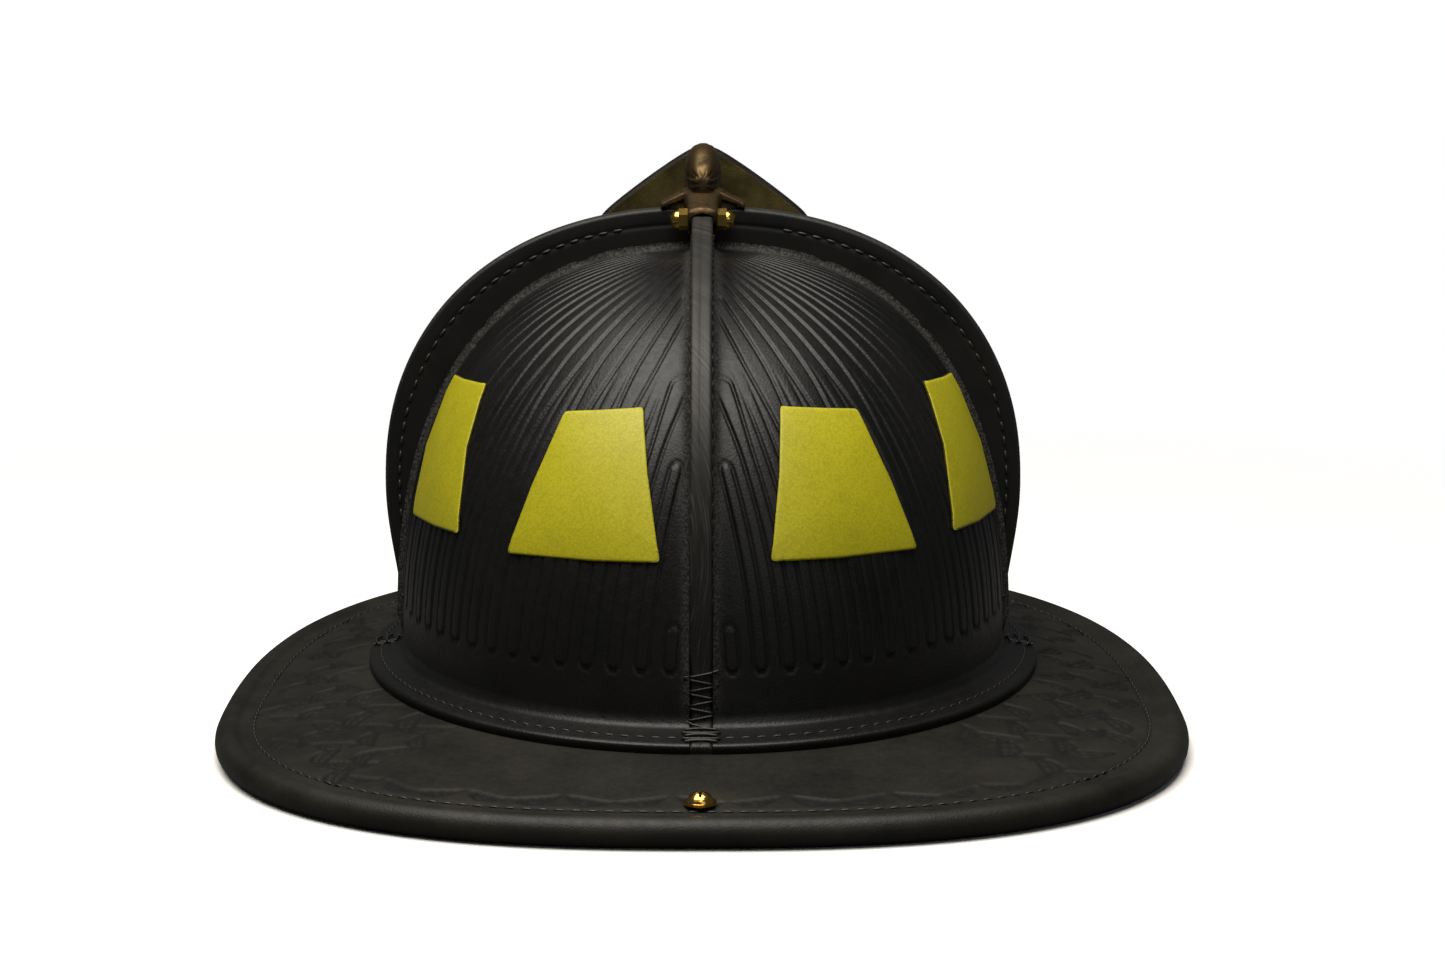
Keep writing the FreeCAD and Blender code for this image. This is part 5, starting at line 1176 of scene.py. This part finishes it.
def make_shield_panel(name, low, high):
    """A raised blank panel: closed flat rings from its lower to its upper edge, edges rounded."""
    scale, wall = 0.84, 1.6
    heights = np.linspace(low, high, 40) * SHIELD_HEIGHT
    curve = smooth_path(np.stack([SHIELD_SIDE, SHIELD_UP], -1), 12)
    rows = []
    for index, height in enumerate(heights):
        source = (height - SHIELD_MIDDLE[1]) / scale + SHIELD_MIDDLE[1]
        half = scale * np.interp(source, curve[:, 1], curve[:, 0])
        soften = min(1.0, 0.35 + 0.3 * min(index, len(heights) - 1 - index))
        across, thick, t = rounded_ring(half, wall / 2 * soften, 9.0, 120)
        tooled = 0.3 * np.exp(-((half - np.abs(across) - 3.0) / 0.6) ** 2) * (thick > 0)
        rows.append(shield_place(across, np.full(t.shape, height), SHIELD_WALL + wall / 2 + thick - tooled))
    points, faces = closed_loft(np.stack(rows))
    piece = make_piece(name + "_leather", helmet(points), faces, PANEL_LEATHER)
    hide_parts(name)


def bare_leather(name):
    """Undyed flesh side of cowhide, waxed by handling: olive-tan, matt and fibrous."""
    material, tree = blank(name)
    place = add(tree, "TexCoord")
    at = {"Vector": (place, "Object")}
    cloud = add(tree, "TexNoise", {"Scale": cells(14), "Detail": 5.0, "Roughness": 0.6}, at)
    fibre = add(tree, "TexNoise", {"Scale": cells(1.2), "Detail": 5.0, "Roughness": 0.75}, at)
    share = add(tree, "MapRange", {1: 0.38, 2: 0.68}, {0: (cloud, 0)})
    colour = add(tree, "Mix", {"data_type": "RGBA", 6: linear("#4b4425"), 7: linear("#76683a")},
                 {0: (share, 0)})
    bump = add(tree, "Bump", {"Strength": 0.6, "Distance": 0.25 * MM}, {"Height": (fibre, 0)})
    skin = add(tree, "BsdfPrincipled", {"Roughness": 0.7, "Specular IOR Level": 0.25, "IOR": 1.48},
               {"Base Color": (colour, 2), "Normal": (bump, 0)})
    add(tree, "OutputMaterial", {}, {"Surface": (skin, 0)})
    return material


def pale_thread(name):
    """Undyed waxed linen thread."""
    material, tree = blank(name)
    place = add(tree, "TexCoord")
    fuzz = add(tree, "TexNoise", {"Scale": cells(0.5), "Detail": 3.0}, {"Vector": (place, "Object")})
    dye = add(tree, "Mix", {"data_type": "RGBA", 6: linear("#8d8468"), 7: linear("#b9b092")},
              {0: (fuzz, 0)})
    skin = add(tree, "BsdfPrincipled", {"Roughness": 0.6, "IOR": 1.5}, {"Base Color": (dye, 2)})
    add(tree, "OutputMaterial", {}, {"Surface": (skin, 0)})
    return material


SHIELD_BACK = bare_leather("bare_flesh_side")
PALE_THREAD = pale_thread("pale_linen_thread")
PANEL_LEATHER = leather("panel_leather_black", "#161514", "#272523", 0.42, grain=0.5)
make_front_shield()
make_shield_panel("shield_lower_panel", 0.20, 0.50)
make_shield_panel("shield_upper_panel", 0.54, 0.80)


# ---------------------------------------------------------------- lining and suspension

def webbing(name, deep, pale, rib):
    """Woven nylon webbing: cross ribs over fine lengthwise ends, measured by the piece's own
    `along` and `across` lengths in metres."""
    material, tree = blank(name)
    along = add(tree, "Attribute", {"attribute_name": "along"})
    across = add(tree, "Attribute", {"attribute_name": "across"})
    turns = 2 * math.pi / MM
    pick = add(tree, "Math", {"operation": "MULTIPLY", 1: turns / rib}, {0: (along, "Fac")})
    end = add(tree, "Math", {"operation": "MULTIPLY", 1: turns / (0.8 * rib)}, {0: (across, "Fac")})
    pick_wave = add(tree, "Math", {"operation": "SINE"}, {0: (pick, 0)})
    end_wave = add(tree, "Math", {"operation": "SINE"}, {0: (end, 0)})
    weave = add(tree, "Math", {"operation": "MULTIPLY"}, {0: (pick_wave, 0), 1: (end_wave, 0)})
    share = add(tree, "MapRange", {1: -1.0, 2: 1.0}, {0: (weave, 0)})
    colour = add(tree, "Mix", {"data_type": "RGBA", 6: linear(deep), 7: linear(pale)}, {0: (share, 0)})
    bump = add(tree, "Bump", {"Strength": 0.7, "Distance": 0.25 * MM}, {"Height": (share, 0)})
    cloth = add(tree, "BsdfPrincipled", {"Roughness": 0.7, "Sheen Weight": 0.15, "IOR": 1.5},
                {"Base Color": (colour, 2), "Normal": (bump, 0)})
    add(tree, "OutputMaterial", {}, {"Surface": (cloth, 0)})
    return material


def cotton_cloth(name, deep, pale, thread):
    """Plain-woven treated cotton over padding: crossed threads and a soft matt nap."""
    material, tree = blank(name)
    place = add(tree, "TexCoord")
    at = {"Vector": (place, "Object")}
    warp = add(tree, "TexWave", {"bands_direction": "Z", "Scale": cells(thread) / 20, "Distortion": 0.6}, at)
    weft = add(tree, "TexWave", {"bands_direction": "DIAGONAL", "Scale": cells(thread) / 20,
                                 "Distortion": 0.6}, at)
    nap = add(tree, "TexNoise", {"Scale": cells(1.5), "Detail": 4.0}, at)
    weave = add(tree, "Math", {"operation": "MULTIPLY"}, {0: (warp, 1), 1: (weft, 1)})
    share = add(tree, "Math", {"operation": "MULTIPLY_ADD", 1: 0.6}, {0: (weave, 0), 2: (nap, 0)})
    colour = add(tree, "Mix", {"data_type": "RGBA", 6: linear(deep), 7: linear(pale)}, {0: (share, 0)})
    bump = add(tree, "Bump", {"Strength": 0.5, "Distance": 0.2 * MM}, {"Height": (share, 0)})
    cloth = add(tree, "BsdfPrincipled", {"Roughness": 0.85, "Sheen Weight": 0.2, "IOR": 1.5},
                {"Base Color": (colour, 2), "Normal": (bump, 0)})
    add(tree, "OutputMaterial", {}, {"Surface": (cloth, 0)})
    return material


def moulded_plastic(name, deep, pale, roughness, texture=0.5):
    """Injection-moulded nylon: a fine spark-eroded texture and a slight cloudiness."""
    material, tree = blank(name)
    place = add(tree, "TexCoord")
    at = {"Vector": (place, "Object")}
    spark = add(tree, "TexNoise", {"Scale": cells(texture), "Detail": 3.0, "Roughness": 0.7}, at)
    cloud = add(tree, "TexNoise", {"Scale": cells(18), "Detail": 3.0}, at)
    colour = add(tree, "Mix", {"data_type": "RGBA", 6: linear(deep), 7: linear(pale)}, {0: (cloud, 0)})
    polish = add(tree, "MapRange", {3: roughness - 0.05, 4: roughness + 0.08}, {0: (cloud, 0)})
    bump = add(tree, "Bump", {"Strength": 0.35, "Distance": 0.05 * MM}, {"Height": (spark, 0)})
    skin = add(tree, "BsdfPrincipled", {"IOR": 1.53},
               {"Base Color": (colour, 2), "Roughness": (polish, 0), "Normal": (bump, 0)})
    add(tree, "OutputMaterial", {}, {"Surface": (skin, 0)})
    return material


def rigid_foam(name):
    """Moulded urethane foam: a closed skin over small cells."""
    material, tree = blank(name)
    place = add(tree, "TexCoord")
    at = {"Vector": (place, "Object")}
    bead = add(tree, "TexVoronoi", {"Scale": cells(2.4)}, at)
    grain = add(tree, "TexNoise", {"Scale": cells(0.6), "Detail": 3.0}, at)
    colour = add(tree, "Mix", {"data_type": "RGBA", 6: linear("#33322f"), 7: linear("#504e49")},
                 {0: (bead, 0)})
    height = add(tree, "Math", {"operation": "MULTIPLY_ADD", 1: 0.4}, {0: (grain, 0), 2: (bead, 0)})
    bump = add(tree, "Bump", {"Strength": 0.6, "Distance": 0.3 * MM}, {"Height": (height, 0)})
    skin = add(tree, "BsdfPrincipled", {"Roughness": 0.82, "IOR": 1.45},
               {"Base Color": (colour, 2), "Normal": (bump, 0)})
    add(tree, "OutputMaterial", {}, {"Surface": (skin, 0)})
    return material


STRAP_WEBBING = webbing("nylon_webbing_black", "#141416", "#2b2b2e", 1.8)
BROW_COTTON = cotton_cloth("brow_cotton", "#26262a", "#3d3d42", 0.9)
EARLAP_COTTON = cotton_cloth("earlap_cotton", "#1b1b1c", "#323234", 1.0)
BAND_NYLON = moulded_plastic("band_nylon", "#151517", "#232326", 0.45)
SHELL_PLASTIC = moulded_plastic("shell_thermoplastic", "#24211c", "#332f28", 0.5, 0.8)
CAP_FOAM = rigid_foam("cap_foam")

FOAM_OUT = 7.2
FOAM_WALL = 15.0
FOAM_LOW = node_box("foam_impact_cap")[0][2]


def make_impact_cap():
    """The foam cap: a dome of even wall with a rounded lower edge and eight shallow air channels."""
    outer = meridian(FOAM_OUT, FOAM_LOW, 60)
    inner = meridian(FOAM_OUT + FOAM_WALL, FOAM_LOW, 60)
    s = np.linspace(0, np.pi, 11)[1:-1]
    middle = (outer[0] + inner[0]) / 2
    lip = np.stack([middle[0] + (outer[0, 0] - middle[0]) * np.cos(s),
                    middle[1] + 3.0 - 3.0 * np.sin(s)], -1)
    outer[0, 1] += 3.0
    inner[0, 1] += 3.0
    section = np.concatenate([outer[::-1], lip, inner])
    turn = np.linspace(0, 2 * np.pi, 240, endpoint=False)
    radius = section[:, :1] * np.ones_like(turn)[None]
    channel = 1.6 * np.exp(-((np.sin(4 * turn) * radius / 4) / 4.0) ** 2) * (radius > 30)
    is_inner = np.arange(len(section))[:, None] >= len(section) - len(inner) + 4
    radius = radius + channel * is_inner
    points = np.stack([SQUEEZE * radius * np.sin(turn), radius * np.cos(turn),
                       np.broadcast_to(section[:, 1:], radius.shape)], -1)
    faces = grid_faces(len(section), len(turn), column_loop=True)
    piece = make_piece("impact_cap_foam", helmet(points), faces, CAP_FOAM)
    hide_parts("foam_impact_cap")


STRAP_WIDTH = 25.0
STRAP_CLOTH = 0.8
STRAP_FOOT = node_box("crown_strap_2")[0][2]
STRAP_TURNS = (40.0, 90.0, -40.0)


def make_crown_strap(index, turn):
    """Webbing over the head: a strip of the dome that lies its own depth under the foam cap.

    On the strip the ellipse radius is the root of (x / squeeze) ** 2 + y ** 2 and the height is
    foot + rise * (1 - (radius / dome) ** n) ** (1/n), for its outer and inner faces.
    """
    depth = FOAM_OUT + FOAM_WALL + 0.6 + index * 1.2
    angle = math.radians(turn)
    across = np.linspace(-1, 1, 15) * (STRAP_WIDTH / 2 - 0.2)
    lap = np.linspace(-1, 1, 181)
    sides = []
    for face in (0.0, STRAP_CLOTH):
        inset = depth + face
        dome, rise = CROWN_R - inset, RISE - inset
        low = ((STRAP_FOOT - FOOT) / rise) ** SQUARENESS
        outmost = dome * (1 - low) ** (1 / SQUARENESS)
        a = (math.sin(angle) / SQUEEZE) ** 2 + math.cos(angle) ** 2
        b = math.sin(angle) * math.cos(angle) * (1 - 1 / SQUEEZE ** 2)
        c = (math.cos(angle) / SQUEEZE) ** 2 + math.sin(angle) ** 2
        root = np.sqrt(b ** 2 * across ** 2 - a * (c * across ** 2 - outmost ** 2))
        ends = np.stack([(-b * across - root) / a, (-b * across + root) / a])
        way = np.sin(lap * np.pi / 2)[:, None]
        reach = ends[0] + (ends[1] - ends[0]) * (way + 1) / 2
        x = -math.sin(angle) * reach + math.cos(angle) * across
        y = math.cos(angle) * reach + math.sin(angle) * across
        radius = np.sqrt((x / SQUEEZE) ** 2 + y ** 2)
        fall = np.maximum(1 - (np.minimum(radius, outmost) / dome) ** SQUARENESS, 0)
        z = FOOT + rise * fall ** (1 / SQUARENESS)
        sides.append(np.stack([x, y, z], -1))
    rings = np.concatenate([sides[0], sides[1][:, ::-1]], 1)
    steps = np.linalg.norm(np.diff(sides[0][:, 7], axis=0), axis=1)
    run = np.concatenate([[0], np.cumsum(steps)]) * MM
    lane = np.concatenate([across, across[::-1]]) * MM
    values = {"along": np.repeat(run, len(lane)), "across": np.tile(lane, len(run))}
    rows, columns = rings.shape[:2]
    caps = [np.arange(columns), (rows - 1) * columns + np.arange(columns)[::-1]]
    name = "crown_strap_%d" % (index + 1)
    piece = make_piece(name + "_webbing", helmet(rings), grid_faces(rows, columns, column_loop=True),
                       STRAP_WEBBING, caps=caps, values=values)
    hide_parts(name)


BAND_HALF_X = node_box("headband")[1][0]
BAND_HALF_Y = SETBACK - node_box("headband")[0][1]


def point_values(mesh, label):
    """A mesh's named number, point by point."""
    numbers = np.empty(len(mesh.vertices), np.float32)
    mesh.attributes[label].data.foreach_get("value", numbers)
    return numbers


def fill_pad(piece, cap):
    """Fills a pad by cloth simulation: its cover is cloth under pressure, held at the sewn lines.

    The piece's own `away` numbers point to what it rests on and `held` marks the sewn lines.  No
    point moves further than `cap` metres, or towards what the pad rests on.
    """
    mesh = piece.data
    start = np.empty(len(mesh.vertices) * 3)
    mesh.vertices.foreach_get("co", start)
    start = start.reshape(-1, 3)
    sewn = piece.vertex_groups.new(name="sewn")
    sewn.add(np.flatnonzero(point_values(mesh, "held") > 0.5).tolist(), 1.0, "REPLACE")
    out = np.stack([point_values(mesh, "away_x"), point_values(mesh, "away_y"),
                    np.zeros(len(mesh.vertices))], -1)
    cover = piece.modifiers.new("cover", "CLOTH")
    cover.settings.use_pressure = True
    cover.settings.uniform_pressure_force = 4.0
    cover.settings.quality = 5
    cover.settings.mass = 0.2
    cover.settings.effector_weights.gravity = 0.0
    cover.settings.vertex_group_mass = "sewn"
    cover.point_cache.frame_end = 20
    for step in range(1, 21):
        bpy.context.scene.frame_set(step)
    swollen = piece.evaluated_get(bpy.context.evaluated_depsgraph_get()).to_mesh()
    end = np.empty(len(swollen.vertices) * 3)
    swollen.vertices.foreach_get("co", end)
    move = end.reshape(-1, 3) - start
    piece.modifiers.remove(cover)
    piece.vertex_groups.remove(sewn)
    bpy.context.scene.frame_set(1)
    far = np.linalg.norm(move, axis=1, keepdims=True)
    move *= np.minimum(1.0, cap / np.maximum(far, 1e-9))
    push = np.maximum((move * out).sum(1, keepdims=True), 0)
    mesh.vertices.foreach_set("co", (start + move - push * out).ravel())
    mesh.update()
    piece.modifiers.new("soft", "SUBSURF").levels = 1
    piece.modifiers["soft"].render_levels = 1


def padded_band(name, node, half_x, half_y, wall, low, high, arc, rear, cells_long, material):
    """A quilted strip that follows an ellipse: a flat oval section, nipped at each sewn channel.

    Thickness at a place is wall * (0.45 + 0.35 * |sin(pi * place / cell)| ** 0.35) before it is
    filled, and its outer face keeps to the surface that it rests on.
    """
    turn = np.radians(np.linspace(-arc, arc, 260))
    flip = 1 if rear else -1
    place = np.linspace(0, cells_long, len(turn))
    plump = 0.45 + 0.35 * np.abs(np.sin(np.pi * place)) ** 0.35
    plump *= np.clip(np.minimum(place, cells_long - place) * 6, 0.15, 1)
    t = np.linspace(0, 2 * np.pi, 40, endpoint=False)
    thick = signed_power(np.cos(t), 2 / 2.6) * wall / 2
    tall = signed_power(np.sin(t), 2 / 4.0) * (high - low) / 2
    pinch = 1 - 0.35 * np.exp(-((np.abs(tall) - (high - low) / 2 + 3.0) / 0.9) ** 2)
    centre = np.stack([(half_x - wall / 2) * np.sin(turn), flip * (half_y - wall / 2) * np.cos(turn)], -1)
    out = unit(np.stack([np.sin(turn) / half_x, flip * np.cos(turn) / half_y], -1))
    offset = plump[:, None] * (thick * pinch)[None]
    flat = centre[:, None] + out[:, None] * offset[..., None]
    z = (low + high) / 2 + np.broadcast_to(tall[None], offset.shape)
    points, faces = closed_loft(np.concatenate([flat, z[..., None]], -1))
    away = np.repeat(np.concatenate([out[:1], out, out[-1:]]), len(t), 0)
    held = np.concatenate([[True], np.abs(np.sin(np.pi * place)) < 0.09, [True]])
    values = {"away_x": away[:, 0], "away_y": away[:, 1], "held": np.repeat(held, len(t))}
    piece = make_piece(name, helmet(points), faces, material, values=values)
    fill_pad(piece, 1.2 * MM)
    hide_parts(node)


make_impact_cap()
for index, turn in enumerate(STRAP_TURNS):
    make_crown_strap(index, turn)
padded_band("brow_pad_quilted", "brow_pad", BAND_HALF_X - 1.9, BAND_HALF_Y - 1.9, 3.0,
            node_box("brow_pad")[0][2] + 0.2, node_box("brow_pad")[1][2] - 0.2, 71.0, False, 9,
            BROW_COTTON)
EARLAP_BOX = node_box("earlap")
EARLAP_R = EARLAP_BOX[1][1] - SETBACK
padded_band("earlap_quilted", "earlap", EARLAP_R * SQUEEZE, EARLAP_R, 2.6,
            EARLAP_BOX[0][2] + 0.2, EARLAP_BOX[1][2] - 0.2, 75.0, True, 12,
            EARLAP_COTTON)


def make_chinstrap(side, sign):
    """Chinstrap webbing: a flat rounded section along the route from its rivet to the buckle."""
    cloth, wide = 1.5, 19.0
    hang = (CROWN_R - 6.6) * SQUEEZE - cloth / 2 - 0.6
    lie = cloth / 2 + 2.6
    corners = np.array([(hang, 41.0), (hang, 21.0), (hang - 10, 10.0), (hang - 34, lie + 1.0),
                        (hang - 50, lie), (23.0, lie)])
    soft = [corners[0]]
    for before, corner, after in zip(corners, corners[1:], corners[2:]):
        reach = 0.45 * min(np.linalg.norm(corner - before), np.linalg.norm(after - corner))
        start = corner + (before - corner) / np.linalg.norm(before - corner) * reach
        end = corner + (after - corner) / np.linalg.norm(after - corner) * reach
        s = np.linspace(0, 1, 10)[:, None]
        soft += list(start * (1 - s) ** 2 + corner * 2 * s * (1 - s) + end * s ** 2)
    path = even_path(np.array(soft + [corners[-1]]), 1.0)
    along = unit(np.gradient(path, axis=0))
    normal = np.stack([-along[:, 1], along[:, 0]], -1)
    across, thick, t = rounded_ring(wide / 2, cloth / 2, 6.0, 48)
    flat = path[:, None] + normal[:, None] * thick[None, :, None]
    points = np.stack([sign * flat[..., 0], np.broadcast_to(across, flat.shape[:2]), flat[..., 1]], -1)
    grid, faces = closed_loft(points)
    run = np.arange(len(grid)) * MM
    values = {"along": np.repeat(run, len(t)), "across": np.tile(across * MM, len(grid))}
    piece = make_piece("chinstrap_%s_webbing" % side, helmet(grid), faces, STRAP_WEBBING, values=values)
    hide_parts("chinstrap_" + side)


make_chinstrap("left", 1)
make_chinstrap("right", -1)


# ---------------------------------------------------------------- finishes of the kept pieces

def plated_steel(name):
    """Nickel-plated steel: pale bright metal with faint turning marks."""
    material, tree = blank(name)
    place = add(tree, "TexCoord")
    marks = add(tree, "TexNoise", {"Scale": cells(0.7), "Detail": 3.0}, {"Vector": (place, "Object")})
    colour = add(tree, "Mix", {"data_type": "RGBA", 6: linear("#a9a8a2"), 7: linear("#c9c8c3")},
                 {0: (marks, 0)})
    shine = add(tree, "MapRange", {3: 0.22, 4: 0.38}, {0: (marks, 0)})
    skin = add(tree, "BsdfPrincipled", {"Metallic": 1.0},
               {"Base Color": (colour, 2), "Roughness": (shine, 0)})
    add(tree, "OutputMaterial", {}, {"Surface": (skin, 0)})
    return material


NICKEL = plated_steel("nickel_plated_steel")
FINISHES = [
    (TURNED_BRASS, ["rear_screw", "rear_washer", "rear_nut", "holder_acorn_nuts", "holder_bolt",
                    "shield_screws", "hang_ring", "hang_ring_tab", "brim_wire"]),
    (AGED_BRASS, ["shield_bracket"]),
    (NICKEL, ["chinstrap_rivets"]),
    (SHELL_PLASTIC, ["inner_shell"]),
    (BAND_NYLON, ["headband", "strap_keys", "ratchet_housing", "ratchet_cover", "ratchet_knob",
                  "ratchet_pinion", "rack_left", "rack_right", "buckle_socket", "buckle_plug"]),
]
for finish, nodes in FINISHES:
    for node in nodes:
        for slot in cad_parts[node].material_slots:
            slot.material = finish


# ---------------------------------------------------------------- floor, light and camera

def make_floor():
    """A plain pale floor whose far parts fade into the white surround.

    It gives back less light than it shows, so that the crown's low wall stays dark.
    """
    half = 0.8
    corners = [(-half, -half, -0.0002), (half, -half, -0.0002), (half, half, -0.0002),
               (-half, half, -0.0002)]
    mesh = bpy.data.meshes.new("floor")
    mesh.from_pydata(corners, [], [(0, 1, 2, 3)])
    material, tree = blank("studio_paper")
    place = add(tree, "TexCoord")
    tooth = add(tree, "TexNoise", {"Scale": cells(1.5), "Detail": 3.0}, {"Vector": (place, "Object")})
    tone = add(tree, "Mix", {"data_type": "RGBA", 6: linear("#f4f4f2"), 7: linear("#fafaf8")},
               {0: (tooth, 0)})
    seen = add(tree, "LightPath")
    shade = add(tree, "Mix", {"data_type": "RGBA", 6: linear("#5a5a5a")}, {0: (seen, 0), 7: (tone, 2)})
    paper = add(tree, "BsdfPrincipled", {"Roughness": 0.95, "Specular IOR Level": 0.1},
                {"Base Color": (shade, 2)})
    reach = add(tree, "VectorMath", {"operation": "LENGTH"}, {0: (place, "Object")})
    fade = add(tree, "MapRange", {"interpolation_type": "SMOOTHSTEP", 1: 0.26, 2: 0.62},
               {0: (reach, "Value")})
    clear = add(tree, "BsdfTransparent")
    edge = add(tree, "MixShader", {}, {0: (fade, 0), 1: (paper, 0), 2: (clear, 0)})
    add(tree, "OutputMaterial", {}, {"Surface": (edge, 0)})
    mesh.materials.append(material)
    floor = bpy.data.objects.new("floor", mesh)
    bpy.context.scene.collection.objects.link(floor)


def soft_light(name, place, aim, wide, tall, power, colour):
    """A rectangular soft box at a place, facing a point; lengths in metres."""
    light = bpy.data.lights.new(name, "AREA")
    light.shape = "RECTANGLE"
    light.size = wide
    light.size_y = tall
    light.energy = power
    light.color = linear(colour)[:3]
    box = bpy.data.objects.new(name, light)
    box.location = place
    box.rotation_euler = (Vector(aim) - Vector(place)).to_track_quat("-Z", "Y").to_euler()
    bpy.context.scene.collection.objects.link(box)


def make_studio():
    """An overhead soft box, a weaker one behind the camera and a dim even surround."""
    make_floor()
    soft_light("overhead_box", (0.15, 0.35, 1.35), (0.0, 0.0, 0.08), 1.5, 1.3, 40.0, "#fffaf2")
    soft_light("rear_fill", (-0.9, 1.9, 0.85), (0.0, 0.0, 0.08), 1.0, 0.7, 2.2, "#f4f8ff")
    world = bpy.data.worlds.new("studio")
    world.use_nodes = True
    world.node_tree.nodes.clear()
    seen = add(world.node_tree, "LightPath")
    light = add(world.node_tree, "Background", {"Color": (0.9, 0.95, 1.0, 1.0), "Strength": 0.06})
    wall = add(world.node_tree, "Background", {"Color": (1.0, 1.0, 1.0, 1.0), "Strength": 1.0})
    both = add(world.node_tree, "MixShader", {}, {0: (seen, 0), 1: (light, 0), 2: (wall, 0)})
    add(world.node_tree, "OutputWorld", {}, {"Surface": (both, 0)})
    bpy.context.scene.world = world


def make_camera():
    """Behind the helmet, a little above the brim; it looks at a point right of the centre line."""
    distance, raised = 1.3, math.radians(10.5)
    aim = Vector((-0.0066, SETBACK * MM, 0.0745))
    camera = bpy.data.cameras.new("camera")
    camera.sensor_width = 36.0
    camera.lens = 95.5
    holder = bpy.data.objects.new("camera", camera)
    holder.location = aim + Vector((0.0, distance * math.cos(raised), distance * math.sin(raised)))
    holder.rotation_euler = (aim - holder.location).to_track_quat("-Z", "Y").to_euler()
    bpy.context.scene.collection.objects.link(holder)
    bpy.context.scene.camera = holder


make_studio()
make_camera()
bpy.context.scene.view_settings.view_transform = "Standard"
